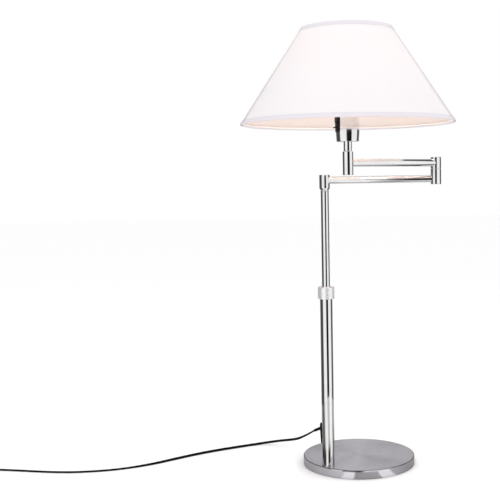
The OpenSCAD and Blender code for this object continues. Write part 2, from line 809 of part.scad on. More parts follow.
module shade_lining() {
    color("linen") cone_wall(fabric_t, wall_t);
}

module shade_fabric() {
    color("white") cone_wall(0, fabric_t);
}

module shade_hem_tapes() {
    in_by = -shade_slope * hem_h;
    color("white") at_stem() {
        rotate_extrude($fn = 128) polygon([[shade_r0, rim_z], [shade_r0 - wall_t, rim_z],
            [shade_r0 - wall_t, rim_z - tape_t], [shade_r0 + tape_t, rim_z - tape_t],
            [shade_r0 + tape_t, rim_z], [shade_r0 + tape_t - in_by, rim_z + hem_h],
            [shade_r0 - in_by, rim_z + hem_h]]);
        rotate_extrude($fn = 128) polygon([[shade_r1 + in_by, shade_top - hem_h],
            [shade_r1 + tape_t + in_by, shade_top - hem_h], [shade_r1 + tape_t, shade_top],
            [shade_r1 + tape_t, shade_top + tape_t], [shade_r1 - wall_t, shade_top + tape_t],
            [shade_r1 - wall_t, shade_top], [shade_r1, shade_top]]);
    }
}

// Bulb: a straight neck, a cone up to the shoulder, and a round head
function glass_outline(r) = let (inset = bulb_r - r, neck = cap_r - 0.6 - inset)
    concat([[neck, glass_z], [neck, glass_z + neck_l]],
    [for (a = [shoulder : 8 : 90]) [r * cos(a), bulb_centre + r * sin(a)]]);

module bulb_glass() {
    outside = glass_outline(bulb_r);
    inside = glass_outline(bulb_r - glass_t);
    color("white") at_stem() rotate_extrude() polygon(concat(outside, [[0, bulb_centre + bulb_r]],
        [[0, bulb_centre + bulb_r - glass_t]], [for (i = [len(inside) - 1 : -1 : 0]) inside[i]]));
}

module bulb_cap() {
    color("silver") at_stem() rotate_extrude() polygon([[0, cap_z - contact_h], [4, cap_z - contact_h],
        [5, cap_z], [cap_r - 3, cap_z + 3], [cap_r, cap_z + 5], [cap_r, glass_z - 2], [cap_r - 0.6, glass_z],
        [0, glass_z]]);
}

base_felt();
base_cover();
base_weight();
foot_washer();
foot_nut();
tube_foot();
outer_tube();
lead_grommet();
strain_relief();
guide_bush();
base_lead();
mains_lead();
lead_coil();
lead_tail();
lead_tie();
plug_body();
plug_pins();
lock_collar();
inner_tube();
stop_ring();
post_spindle();
post_washer();
post_nut();
post_lead();
swivel_head();
swivel_cap();
lower_arm_tube();
elbow_lower_knuckle();
elbow_spindle();
elbow_washer();
elbow_nut();
lower_arm_lead();
elbow_upper_knuckle();
elbow_cap();
upper_arm_tube();
stem_knuckle();
stem_nipple();
stem_nut();
neck_tube();
upper_arm_lead();
holder_cup();
holder_sleeve();
holder_core();
thread_shell();
centre_contact();
switch_body();
switch_lever();
shade_rings();
shade_carrier();
shade_top_wire();
shade_bottom_wire();
shade_lining();
shade_fabric();
shade_hem_tapes();
bulb_glass();
bulb_cap();
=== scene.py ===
"""A swing-arm table lamp: weighted base, telescopic post, two folding arms and a white cloth shade.

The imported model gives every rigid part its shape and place. This script adds the cloth, the mains
lead and the finely detailed small parts, and gives each part its finish. Metres, +Z up, origin on
the floor under the centre of the base.
"""

import logging
import math
from dataclasses import dataclass, field
from enum import Enum
from typing import Callable, Sequence

import bmesh
import bpy
from mathutils import Matrix, Vector


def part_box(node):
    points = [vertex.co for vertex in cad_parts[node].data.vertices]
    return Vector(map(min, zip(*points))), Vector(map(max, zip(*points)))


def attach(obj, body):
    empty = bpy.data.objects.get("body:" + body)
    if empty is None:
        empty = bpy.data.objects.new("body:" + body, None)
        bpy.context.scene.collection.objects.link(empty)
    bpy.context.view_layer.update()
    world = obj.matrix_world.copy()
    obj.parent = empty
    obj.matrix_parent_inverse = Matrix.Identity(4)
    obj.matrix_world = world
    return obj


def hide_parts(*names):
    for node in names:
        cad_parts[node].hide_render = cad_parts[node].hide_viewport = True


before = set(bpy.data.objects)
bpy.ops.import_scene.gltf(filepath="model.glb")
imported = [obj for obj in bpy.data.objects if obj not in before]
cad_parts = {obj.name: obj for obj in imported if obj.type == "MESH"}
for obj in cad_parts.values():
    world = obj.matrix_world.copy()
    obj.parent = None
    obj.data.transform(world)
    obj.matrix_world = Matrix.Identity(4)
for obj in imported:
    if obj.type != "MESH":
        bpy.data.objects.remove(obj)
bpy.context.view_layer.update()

LOG = logging.getLogger("lamp")
MM = 0.001
UP = Vector((0.0, 0.0, 1.0))

Piece = bpy.types.Object
Material = bpy.types.Material
Node = bpy.types.Node
Socket = bpy.types.NodeSocket
Input = float | tuple | Socket
Outline = list[tuple[float, float]]
Bands = tuple[tuple[float, float], ...]
Colour = tuple[float, float, float]
Spot = tuple[float, float, float, float]


class Body(Enum):
    """The moving bodies of the lamp."""

    BASE = "base"
    COLLAR = "collar"
    INNER_POST = "inner_post"
    LOWER_ARM = "lower_arm"
    UPPER_ARM = "upper_arm"
    SWITCH = "switch"


class Blank(Enum):
    """The shapes that a piece is started from."""

    CUBE = "cube"
    PLANE = "plane"


class Kind(Enum):
    """What is selected on a mesh that is being edited."""

    FACES = "faces"
    EDGES = "edges"


class Run(Enum):
    """The way in which the grain of a brushed metal runs."""

    ROUND = "round an upright axis"
    UPRIGHT = "up and down"
    NONE = "no grain"


# -------------------------------------------------------------------------------------------------
# Shader work: a small helper and the effects that several finishes share
# -------------------------------------------------------------------------------------------------


class Wiring:
    """Adds and joins the nodes of one shader tree."""

    def __init__(self, tree: bpy.types.NodeTree) -> None:
        """Keeps the tree that the nodes go into."""
        self.tree = tree

    def add(self, kind: str, settings: dict | None = None, **inputs: Input) -> Node:
        """Adds a node.

        Args:
            kind: The node's type, without the words ShaderNode in front.
            settings: The node's own properties.
            inputs: Values or output sockets for its inputs, by name with spaces written as underscores.

        Returns:
            The new node.
        """
        node = self.tree.nodes.new("ShaderNode" + kind)
        for name, value in (settings or {}).items():
            setattr(node, name, value)
        self.set(node, **inputs)
        return node

    def set(self, node: Node, **inputs: Input) -> None:
        """Sets or joins a node's inputs, by name with spaces written as underscores."""
        for name, value in inputs.items():
            self.feed(node.inputs[name.replace("_", " ")], value)

    def feed(self, socket: Socket, value: Input) -> None:
        """Joins an output to a socket, or sets the socket to a plain value.

        Args:
            socket: The input socket.
            value: The output socket or the value.
        """
        if isinstance(value, Socket):
            self.tree.links.new(value, socket)
        else:
            socket.default_value = value

    def maths(self, operation: str, first: Input, second: Input = 0.0, third: Input = 0.0) -> Socket:
        """Does a sum on values or output sockets.

        Args:
            operation: The Math node's operation.
            first: The first value.
            second: The second value.
            third: The third value.

        Returns:
            The output socket of the sum.
        """
        node = self.add("Math", {"operation": operation})
        for socket, value in zip(node.inputs, (first, second, third)):
            self.feed(socket, value)
        return node.outputs[0]

    def spread(
        self, value: Input, low: float, high: float, start: float = 0.0, end: float = 1.0
    ) -> Socket:
        """Moves a value from the range start to end into the range low to high.

        Args:
            value: The output socket to move.
            low: The result at the start.
            high: The result at the end.
            start: The value that gives low.
            end: The value that gives high.

        Returns:
            The output socket of the moved value.
        """
        node = self.add("MapRange", Value=value)
        for name, number in (("From Min", start), ("From Max", end), ("To Min", low), ("To Max", high)):
            self.feed(node.inputs[name], number)
        return node.outputs["Result"]

    def blend(self, factor: Input, first: Input, second: Input) -> Socket:
        """Blends two colours.

        Args:
            factor: How much of the second colour shows, as an output socket.
            first: The colour at 0, or the socket that gives it.
            second: The colour at 1, or the socket that gives it.

        Returns:
            The output socket of the blended colour.
        """
        node = self.add("Mix", {"data_type": "RGBA"})
        self.feed(node.inputs[0], factor)
        for place, colour in ((6, first), (7, second)):
            self.feed(node.inputs[place], (*colour, 1.0) if isinstance(colour, tuple) else colour)
        return node.outputs[2]

    def distance(self, place: Socket) -> Socket:
        """Gives how far a place is from the origin.

        Args:
            place: The output socket of the coordinates.

        Returns:
            The output socket of the distance.
        """
        node = self.add("VectorMath", {"operation": "LENGTH"})
        self.feed(node.inputs[0], place)
        return node.outputs["Value"]


class Effect:
    """A shader group with named inputs and outputs that several finishes use."""

    def __init__(self, name: str, inputs: dict[str, float | None], outputs: Sequence[str]) -> None:
        """Makes the group's frame.

        Args:
            name: The name of the effect.
            inputs: The name and value of each input; None makes a vector input.
            outputs: The names of the number outputs.
        """
        self.tree = bpy.data.node_groups.new(name, "ShaderNodeTree")
        for label, value in inputs.items():
            kind = "NodeSocketVector" if value is None else "NodeSocketFloat"
            socket = self.tree.interface.new_socket(label, in_out="INPUT", socket_type=kind)
            if value is not None:
                socket.default_value = value
        for label in outputs:
            self.tree.interface.new_socket(label, in_out="OUTPUT", socket_type="NodeSocketFloat")
        self.wiring = Wiring(self.tree)
        self.source = self.tree.nodes.new("NodeGroupInput")
        self.sink = self.tree.nodes.new("NodeGroupOutput")

    def take(self, label: str) -> Socket:
        """Gives the inner socket of an input."""
        return self.source.outputs[label]

    def give(self, label: str, value: Socket) -> None:
        """Joins a value to an output."""
        self.tree.links.new(value, self.sink.inputs[label])

    def place(self, wiring: Wiring, **inputs: Input) -> Node:
        """Places the effect in a material.

        Args:
            wiring: The material's wiring.
            inputs: Values or output sockets for the effect's inputs.

        Returns:
            The group node.
        """
        node = wiring.tree.nodes.new("ShaderNodeGroup")
        node.node_tree = self.tree
        wiring.set(node, **inputs)
        return node


def make_handling() -> Effect:
    """Builds the faint, cloudy film that hands and dusters leave, as a mask from 0 to 1.

    Returns:
        The effect.
    """
    effect = Effect("handling film", {"Vector": None, "Size": 0.05, "Streaks": 4.0}, ["Film", "Specks"])
    wire = effect.wiring
    scale = wire.maths("DIVIDE", 1.0, effect.take("Size"))
    cloud = wire.add("TexNoise", Vector=effect.take("Vector"), Scale=scale, Detail=5.0, Roughness=0.62)
    streak = wire.add("TexNoise", Vector=effect.take("Vector"), Detail=2.0, Distortion=1.5)
    wire.feed(streak.inputs["Scale"], wire.maths("MULTIPLY", scale, effect.take("Streaks")))
    both = wire.maths("MULTIPLY", cloud.outputs[0], wire.spread(streak.outputs[0], 0.7, 1.3))
    effect.give("Film", wire.spread(both, 0.0, 1.0, 0.36, 0.68))
    fine = wire.add("TexNoise", Vector=effect.take("Vector"), Scale=2600.0, Detail=1.0)
    effect.give("Specks", wire.spread(fine.outputs[0], 0.0, 1.0, 0.66, 0.76))
    return effect


def make_turned_grain() -> Effect:
    """Builds the fine rings that a polishing mop leaves on a part that spins on an upright axis.

    Returns:
        The effect.
    """
    effect = Effect("turned grain", {"Vector": None, "Lines": 1400.0, "Drift": 3.0}, ["Height", "Tone"])
    wire = effect.wiring
    axes = wire.add("SeparateXYZ", Vector=effect.take("Vector")).outputs
    squares = [wire.maths("MULTIPLY", axis, axis) for axis in (axes[0], axes[1])]
    radius = wire.maths("MULTIPLY", wire.maths("SQRT", wire.maths("ADD", *squares)), effect.take("Lines"))
    height = wire.maths("MULTIPLY", axes[2], effect.take("Lines"))
    drift = [wire.maths("MULTIPLY", axis, effect.take("Drift")) for axis in (axes[0], axes[1])]
    ring = wire.add("CombineXYZ", X=radius, Y=height, Z=wire.maths("ADD", *drift))
    fine = wire.add("TexNoise", Vector=ring.outputs[0], Scale=1.0, Detail=3.0, Roughness=0.7)
    broad = wire.add("TexNoise", Vector=ring.outputs[0], Scale=0.12, Detail=2.0)
    effect.give("Height", fine.outputs[0])
    fine_share = wire.maths("MULTIPLY", fine.outputs[0], 0.4)
    effect.give("Tone", wire.maths("MULTIPLY_ADD", broad.outputs[0], 0.6, fine_share))
    return effect


def make_skin() -> Effect:
    """Builds the fine pitted skin of moulded, cast or painted parts.

    Returns:
        The effect.
    """
    effect = Effect("moulded skin", {"Vector": None, "Grain": 0.0006, "Swell": 0.02}, ["Height", "Tone"])
    wire = effect.wiring
    fine_scale = wire.maths("DIVIDE", 1.0, effect.take("Grain"))
    fine = wire.add("TexVoronoi", {"feature": "SMOOTH_F1"}, Vector=effect.take("Vector"), Scale=fine_scale)
    broad_scale = wire.maths("DIVIDE", 1.0, effect.take("Swell"))
    broad = wire.add("TexNoise", Vector=effect.take("Vector"), Scale=broad_scale, Detail=4.0)
    height = wire.maths("MULTIPLY_ADD", fine.outputs["Distance"], 0.6, broad.outputs[0])
    effect.give("Height", height)
    effect.give("Tone", broad.outputs[0])
    return effect


def make_weave() -> Effect:
    """Builds a plain weave: warp over weft, with thick and thin places in the yarn.

    Returns:
        The effect.
    """
    effect = Effect("plain weave", {"Vector": None, "Pitch": 0.0005}, ["Height", "Tone"])
    wire = effect.wiring
    axes = wire.add("SeparateXYZ", Vector=effect.take("Vector")).outputs
    turns = wire.maths("DIVIDE", math.pi, effect.take("Pitch"))
    warp = wire.maths("SINE", wire.maths("MULTIPLY", axes[0], turns))
    weft = wire.maths("SINE", wire.maths("MULTIPLY", axes[1], turns))
    crossing = wire.maths("MULTIPLY", warp, weft)
    fine, long = 1800.0, 60.0
    slubs = []
    for x_scale, y_scale in ((fine, long), (long, fine)):
        x, y = wire.maths("MULTIPLY", axes[0], x_scale), wire.maths("MULTIPLY", axes[1], y_scale)
        yarn = wire.add("CombineXYZ", X=x, Y=y)
        slubs.append(wire.add("TexNoise", Vector=yarn.outputs[0], Scale=1.0, Detail=2.0).outputs[0])
    slub = wire.maths("ADD", *slubs)
    effect.give("Height", wire.maths("MULTIPLY_ADD", slub, 0.9, wire.maths("MULTIPLY", crossing, 0.35)))
    effect.give("Tone", wire.maths("MULTIPLY", slub, 0.5))
    return effect


HANDLING = make_handling()
TURNED_GRAIN = make_turned_grain()
SKIN = make_skin()
WEAVE = make_weave()


# -------------------------------------------------------------------------------------------------
# Finishes
# -------------------------------------------------------------------------------------------------


@dataclass(frozen=True)
class Finish:
    """What every finish shares: a name, a colour and how rough it is where clean and where handled."""

    name: str
    colour: Colour
    clean: float = 0.3
    worn: float = 0.45
    coat: float = 0.0
    gloss: float = 0.5

    def shader(self) -> tuple[Material, Wiring, Node, Socket]:
        """Starts a material.

        Returns:
            The material, its wiring, its surface shader, and the coordinates of the part.
        """
        material = bpy.data.materials.new(self.name)
        material.use_nodes = True
        wire = Wiring(material.node_tree)
        surface = material.node_tree.nodes["Principled BSDF"]
        wire.set(
            surface, Base_Color=(*self.colour, 1.0), Roughness=self.clean, Coat_Weight=self.coat,
            Specular_IOR_Level=self.gloss,
        )
        place = wire.add("TexCoord").outputs["Object"]
        return material, wire, surface, place

    def bump(self, wire: Wiring, surface: Node, height: Socket, depth: float) -> None:
        """Raises the surface by a height field.

        Args:
            wire: The material's wiring.
            surface: The shader that is raised.
            height: The height field.
            depth: How deep it is, in metres.
        """
        node = wire.add("Bump", Height=height, Distance=depth, Strength=1.0)
        wire.set(surface, Normal=node.outputs[0])

    def shade(self, factor: float) -> Colour:
        """Gives the finish's colour, made darker or lighter."""
        return tuple(min(1.0, part * factor) for part in self.colour)


@dataclass(frozen=True)
class Plate(Finish):
    """Metal that is plated, polished or brushed."""

    metal: float = 1.0
    run: Run = Run.NONE
    axis: tuple[float, float] = (0.0, 0.0)
    lines: float = 1400.0
    depth: float = 0.00001
    draw: float = 0.75
    # Polished sides; this also turns on the painted dark line along the top's outer edge.
    polished_side_and_painted_edge: bool = False
    # Radius where the painted dark edge line begins.
    painted_edge_shade: float = 0.1142
    film: float = 0.05
    tarnish: Colour = (0.55, 0.53, 0.52)

    def make(self) -> Material:
        """Builds the material.

        Returns:
            The material.
        """
        material, wire, surface, place = self.shader()
        wire.set(surface, Metallic=self.metal)
        marks = HANDLING.place(wire, Vector=place, Size=self.film)
        rough = wire.spread(marks.outputs["Film"], self.clean, self.worn)
        tone = wire.maths("MULTIPLY", marks.outputs["Film"], 0.22)
        painted_edge_shade = 0.0
        if self.run is Run.ROUND:
            centre = wire.add("Mapping", Vector=place, Location=(-self.axis[0], -self.axis[1], 0.0))
            spokes = wire.add("VectorMath", {"operation": "CROSS_PRODUCT"})
            spokes.inputs[0].default_value = UP
            wire.feed(spokes.inputs[1], centre.outputs[0])
            wire.set(surface, Tangent=spokes.outputs[0])
            wire.set(surface, Anisotropic=self.draw)
            grain = TURNED_GRAIN.place(wire, Vector=centre.outputs[0], Lines=self.lines)
            rough = wire.maths("MULTIPLY_ADD", grain.outputs["Tone"], 0.10, rough)
            if self.polished_side_and_painted_edge:
                facing = wire.add("SeparateXYZ", Vector=wire.add("TexCoord").outputs["Normal"]).outputs[2]
                rough = wire.maths("MULTIPLY", rough, wire.spread(facing, 0.20, 1.0, 0.3, 0.95))
                # Painted shade: a dark ring at the outer edge of the top, on faces that look up.
                painted_edge_shade = wire.spread(wire.distance(place), 0.0, 0.85, self.painted_edge_shade, self.painted_edge_shade + 0.6 * MM)
                painted_edge_shade = wire.maths("MULTIPLY", painted_edge_shade, wire.spread(facing, 0.0, 1.0, 0.1, 0.3))
            worn_rings = wire.spread(grain.outputs["Tone"], 0.0, 1.0, 0.3, 0.7)
            tone = wire.maths("MULTIPLY_ADD", worn_rings, 0.35, tone)
            height = grain.outputs["Height"]
        elif self.run is Run.UPRIGHT:
            stretch = wire.add("Mapping", Vector=place, Scale=(self.lines, self.lines, 8.0))
            height = wire.add("TexNoise", Vector=stretch.outputs[0], Scale=1.0, Detail=3.0).outputs[0]
            rough = wire.maths("MULTIPLY_ADD", height, 0.08, rough)
        else:
            height = wire.add("TexNoise", Vector=place, Scale=90.0, Detail=2.0).outputs[0]
        wire.set(surface, Roughness=rough)
        plain = wire.blend(tone, self.colour, self.tarnish)
        # The painted edge shade brings the colour down to a quarter of its brightness.
        wire.set(surface, Base_Color=wire.blend(painted_edge_shade, plain, self.shade(0.25)))
        self.bump(wire, surface, height, self.depth)
        return material


@dataclass(frozen=True)
class Moulding(Finish):
    """Moulded plastic, glazed porcelain, paint over a casting: a skin with a fine grain and no weave."""

    grain: float = 0.0006
    swell: float = 0.02
    depth: float = 0.00002
    dust: Colour = (0.30, 0.29, 0.28)
    dusty: float = 0.12

    def make(self) -> Material:
        """Builds the material.

        Returns:
            The material.
        """
        material, wire, surface, place = self.shader()
        wire.set(surface, Coat_Roughness=0.12)
        skin = SKIN.place(wire, Vector=place, Grain=self.grain, Swell=self.swell)
        marks = HANDLING.place(wire, Vector=place, Size=self.swell * 2.0)
        tone = wire.maths("MULTIPLY", marks.outputs["Film"], self.dusty)
        tone = wire.maths("MULTIPLY_ADD", marks.outputs["Specks"], self.dusty * 0.6, tone)
        wire.set(surface, Base_Color=wire.blend(tone, self.colour, self.dust))
        rough = wire.spread(skin.outputs["Tone"], self.clean, self.worn, 0.3, 0.7)
        wire.set(surface, Roughness=rough)
        self.bump(wire, surface, skin.outputs["Height"], self.depth)
        return material


@dataclass(frozen=True)
class Cloth(Finish):
    """Woven cloth, tape or felt, which lets some of the light behind it through."""

    gloss: float = 0.25
    pitch: float = 0.0005
    depth: float = 0.00006
    through: float = 0.0
    through_colour: Colour = (1.0, 0.93, 0.88)
    fuzz: float = 0.25
    # How strongly painted shade darkens the cloth where it is seen edge-on.
    rim: float = 0.0
    rim_shade_colour: Colour = (0.42, 0.36, 0.45)
    own_map: bool = True

    def make(self) -> Material:
        """Builds the material.

        Returns:
            The material.
        """
        material, wire, surface, place = self.shader()
        wire.set(surface, Sheen_Weight=self.fuzz, Sheen_Roughness=0.5)
        thread_place = wire.add("UVMap").outputs[0] if self.own_map else place
        weave = WEAVE.place(wire, Vector=thread_place, Pitch=self.pitch)
        tone = wire.spread(weave.outputs["Tone"], 0.0, 1.0, 0.35, 0.65)
        woven = wire.blend(tone, self.shade(0.97), self.shade(1.02))
        # Painted shade: the colour turns grey-lilac where the surface is seen edge-on, drawing a darker
        # outline.
        rim = wire.spread(wire.add("LayerWeight", Blend=0.5).outputs["Facing"], 0.0, self.rim, 0.80, 1.0)
        wire.set(surface, Base_Color=wire.blend(rim, woven, self.rim_shade_colour))
        wire.set(surface, Roughness=wire.spread(tone, self.clean, self.worn))
        self.bump(wire, surface, weave.outputs["Height"], self.depth)
        if self.through:
            low = tuple(part * 0.93 for part in self.through_colour)
            glow = wire.add("BsdfTranslucent", Color=wire.blend(tone, low, self.through_colour))
            both = wire.add("MixShader", Fac=self.through)
            wire.feed(both.inputs[1], surface.outputs[0])
            wire.feed(both.inputs[2], glow.outputs[0])
            wire.set(material.node_tree.nodes["Material Output"], Surface=both.outputs[0])
        return material


@dataclass(frozen=True)
class Opal(Finish):
    """The frosted glass of a bulb that is lit."""

    light: Colour = (1.0, 0.70, 0.53)
    strength: float = 15.0
    height: float = 0.77

    def make(self) -> Material:
        """Builds the material.

        Returns:
            The material.
        """
        material, wire, surface, place = self.shader()
        wire.set(surface, Coat_Weight=0.4)
        axes = wire.add("SeparateXYZ", Vector=place).outputs
        frost = SKIN.place(wire, Vector=place, Grain=0.0003, Swell=0.015)
        fade = wire.spread(axes[2], 0.55, 1.0, self.height - 0.05, self.height)
        warm = tuple(part * 0.8 for part in self.light)
        mottled = wire.maths("MULTIPLY", fade, wire.spread(frost.outputs["Tone"], 0.9, 1.05, 0.3, 0.7))
        wire.set(surface, Emission_Color=wire.blend(mottled, warm, self.light))
        wire.set(surface, Emission_Strength=self.strength)
        wire.set(surface, Roughness=wire.spread(frost.outputs["Tone"], self.clean, self.worn))
        self.bump(wire, surface, frost.outputs["Height"], 0.000005)
        return material


class Finishes:
    """Every finish of the lamp, each made once."""

    def __init__(self, post: Vector) -> None:
        """Makes the finishes.

        Args:
            post: The axis of the post, which the grain of the collar runs round.
        """
        self.chrome = Plate(
            "polished chrome", (0.88, 0.88, 0.89), 0.035, 0.075, depth=0.000004, film=0.06
        ).make()
        # The spun top has a painted dark line along its outer edge.
        self.base_top = Plate(
            "spun satin chrome", (0.72, 0.70, 0.745), 0.30, 0.38, run=Run.ROUND, lines=2600.0, depth=0.000008,
            film=0.09, tarnish=(0.52, 0.50, 0.55), polished_side_and_painted_edge=True,
        ).make()
        self.collar = Plate(
            "brushed chrome", (0.93, 0.93, 0.94), 0.20, 0.27, metal=0.55, run=Run.ROUND,
            axis=(post.x, post.y), lines=3000.0, depth=0.000004, film=0.03, tarnish=(0.88, 0.87, 0.88),
        ).make()
        self.steel = Plate(
            "zinc-plated steel", (0.62, 0.62, 0.58), 0.28, 0.42, run=Run.UPRIGHT, lines=900.0
        ).make()
        self.brass = Plate(
            "pressed brass", (0.80, 0.58, 0.25), 0.20, 0.38, film=0.012, tarnish=(0.42, 0.27, 0.12)
        ).make()
        self.nickel = Plate("nickel plate", (0.78, 0.76, 0.72), 0.12, 0.22, film=0.015).make()
        self.tin = Plate("rolled tin plate", (0.80, 0.79, 0.76), 0.22, 0.36, film=0.01).make()
        self.black = Moulding(
            "black moulding", (0.010, 0.008, 0.008), 0.30, 0.45, gloss=0.12, grain=0.0005, dusty=0.02
        ).make()
        self.sheath = Moulding(
            "black vinyl sheath", (0.006, 0.006, 0.007), 0.50, 0.65, gloss=0.04, grain=0.0009, dusty=0.02
        ).make()
        self.core_sheath = Moulding("grey vinyl sheath", (0.05, 0.05, 0.052), 0.35, 0.5, dusty=0.05).make()
        self.nylon = Moulding("natural nylon", (0.80, 0.78, 0.71), 0.34, 0.48, dusty=0.06).make()
        self.porcelain = Moulding(
            "glazed porcelain", (0.86, 0.84, 0.78), 0.12, 0.22, coat=0.6, grain=0.003, depth=0.00001,
            dusty=0.05,
        ).make()
        self.ring_plastic = Moulding("ivory moulding", (0.86, 0.84, 0.79), 0.24, 0.36, dusty=0.05).make()
        self.white_paint = Moulding(
            "white powder paint", (0.88, 0.87, 0.86), 0.36, 0.50, grain=0.0004, depth=0.00004, dusty=0.05
        ).make()
        self.cast = Moulding(
            "painted casting", (0.035, 0.035, 0.037), 0.55, 0.75, grain=0.0014, swell=0.01, depth=0.0002
        ).make()
        self.felt = Cloth(
            "black felt", (0.035, 0.034, 0.036), 0.85, 1.0, pitch=0.0011, depth=0.0003, fuzz=0.6,
            own_map=False,
        ).make()
        self.strap = Cloth(
            "black strap", (0.02, 0.02, 0.022), 0.75, 0.95, pitch=0.0008, depth=0.0002, fuzz=0.4,
            own_map=False,
        ).make()
        # Painted shade darkens the cloth where it is seen edge-on.
        self.cloth = Cloth(
            "white shade cloth", (0.94, 0.935, 0.965), 0.75, 0.9, through=0.28, fuzz=0.0, rim=1.0
        ).make()
        # Painted shade: the tape is toned grey-lilac, darker than the cloth, so both edges of the shade show
        # a dark outline.
        self.tape = Cloth(
            "hem tape toned as painted edge shade", (0.80, 0.765, 0.815), 0.70, 0.85, pitch=0.0004, through=0.12, fuzz=0.0,
            rim=1.0,
        ).make()
        self.lining = Cloth(
            "shade lining", (0.96, 0.91, 0.89), 0.40, 0.55, depth=0.00001, through=0.50, fuzz=0.0,
            through_colour=(1.0, 0.99, 0.98),
        ).make()
        self.opal = Opal("lit opal glass", (0.95, 0.93, 0.90), 0.25, 0.40).make()


# -------------------------------------------------------------------------------------------------
# Bench tools: mesh work as by hand
# -------------------------------------------------------------------------------------------------


def clear_selection() -> None:
    """Leaves edit mode and selects nothing."""
    if bpy.context.object is not None and bpy.context.object.mode != "OBJECT":
        bpy.ops.object.mode_set(mode="OBJECT")
    bpy.ops.object.select_all(action="DESELECT")


def arc(centre: tuple[float, float], radius: float, start: float, end: float, count: int) -> Outline:
    """Gives points along an arc.

    Args:
        centre: The arc's centre, as radius and height.
        radius: The arc's radius.
        start: The first point's angle, in degrees.
        end: The last point's angle, in degrees.
        count: How many points there are.

    Returns:
        The points, first to last.
    """
    angles = [math.radians(start + (end - start) * k / (count - 1)) for k in range(count)]
    return [(centre[0] + radius * math.cos(a), centre[1] + radius * math.sin(a)) for a in angles]


def choose(piece: Piece) -> None:
    """Selects one piece alone, and makes it the one that is worked on.

    Args:
        piece: The piece.
    """
    clear_selection()
    bpy.context.view_layer.objects.active = piece
    piece.select_set(True)


def blank(name: str, shape: Blank, size: float = 1.0) -> Piece:
    """Starts a piece from a blank.

    Args:
        name: The piece's name.
        shape: The shape that it starts from.
        size: The length of its sides.

    Returns:
        The piece, which stands at the origin.
    """
    clear_selection()
    if shape is Blank.CUBE:
        bpy.ops.mesh.primitive_cube_add(size=size)
    else:
        bpy.ops.mesh.primitive_plane_add(size=size)
    piece = bpy.context.object
    piece.name = piece.data.name = name
    return piece


def pick(piece: Piece, kind: Kind, test: Callable[..., bool]) -> None:
    """Selects some faces or edges of the piece that is being edited.

    Args:
        piece: The piece.
        kind: What is selected.
        test: Tells whether one of them is selected.
    """
    bpy.ops.mesh.select_all(action="DESELECT")
    work = bmesh.from_edit_mesh(piece.data)
    for item in work.faces if kind is Kind.FACES else work.edges:
        item.select = test(item)
    bmesh.update_edit_mesh(piece.data)


def stand_on(piece: Piece, axis: Vector, height: float = 0.0) -> None:
    """Moves a turned piece from the origin onto an upright axis."""
    piece.data.transform(Matrix.Translation((axis.x, axis.y, height)))


def polar(centre: Vector, radius: float, angle: float, height: float) -> Vector:
    """Gives a point at a radius and an angle round an upright axis."""
    return Vector((centre.x + radius * math.cos(angle), centre.y + radius * math.sin(angle), height))


def turn(name: str, outline: Outline, steps: int = 64, closed: bool = False) -> Piece:
    """Turns an outline round the upright axis, as on a lathe.

    Args:
        name: The piece's name.
        outline: The points of the outline, as radius and height.
        steps: How many faces go round.
        closed: Whether the last point joins the first.

    Returns:
        The piece, which stands round the origin's axis.
    """
    piece = blank(name, Blank.PLANE, MM)
    bpy.ops.object.mode_set(mode="EDIT")
    bpy.ops.mesh.select_all(action="SELECT")
    bpy.ops.mesh.merge(type="CENTER")
    bpy.ops.transform.translate(value=(outline[0][0], 0.0, outline[0][1]))
    points = [*outline, outline[0]] if closed else outline
    for near, far in zip(points, points[1:]):
        step = (far[0] - near[0], 0.0, far[1] - near[1])
        bpy.ops.mesh.extrude_vertices_move(TRANSFORM_OT_translate={"value": step})
    bpy.ops.mesh.select_all(action="SELECT")
    bpy.ops.mesh.spin(steps=steps, angle=math.tau, center=(0.0, 0.0, 0.0), axis=(0.0, 0.0, 1.0))
    bpy.ops.mesh.select_all(action="SELECT")
    bpy.ops.mesh.remove_doubles(threshold=0.005 * MM)
    bpy.ops.mesh.normals_make_consistent(inside=False)
    bpy.ops.object.mode_set(mode="OBJECT")
    return piece


def soften(piece: Piece, width: float, segments: int = 2, angle: float = 35.0) -> None:
    """Rounds a piece's sharp edges.

    Args:
        piece: The piece.
        width: The width of the rounding.
        segments: How many faces it has across.
        angle: The angle past which an edge is sharp, in degrees.
    """
    edge = piece.modifiers.new("rounding", "BEVEL")
    edge.width = width
    edge.segments = segments
    edge.limit_method = "ANGLE"
    edge.angle_limit = math.radians(angle)
    apply_all(piece)


def thicken(piece: Piece, thickness: float, offset: float = 1.0) -> None:
    """Gives a thin skin a wall: outwards at an offset of 1, inwards at -1.

    Args:
        piece: The piece.
        thickness: How thick the wall is.
        offset: Which way it grows.
    """
    wall = piece.modifiers.new("wall", "SOLIDIFY")
    wall.thickness = thickness
    wall.offset = offset
    apply_all(piece)


def apply_all(piece: Piece) -> None:
    """Applies every modifier of a piece.

    Args:
        piece: The piece.
    """
    choose(piece)
    for modifier in list(piece.modifiers):
        bpy.ops.object.modifier_apply(modifier=modifier.name)


def smooth(piece: Piece, angle: float = 40.0) -> None:
    """Shades a piece smooth, and leaves edges sharper than the angle crisp.

    Args:
        piece: The piece.
        angle: The angle past which an edge is sharp, in degrees.
    """
    choose(piece)
    bpy.ops.object.shade_smooth_by_angle(angle=math.radians(angle))
    clear_selection()


def join(name: str, parts: Sequence[Piece]) -> Piece:
    """Joins several pieces into one.

    Args:
        name: The joined piece's name.
        parts: The pieces, which become one.

    Returns:
        The joined piece.
    """
    clear_selection()
    for part in parts:
        part.select_set(True)
    bpy.context.view_layer.objects.active = parts[0]
    bpy.ops.object.join()
    piece = bpy.context.object
    piece.name = piece.data.name = name
    return piece


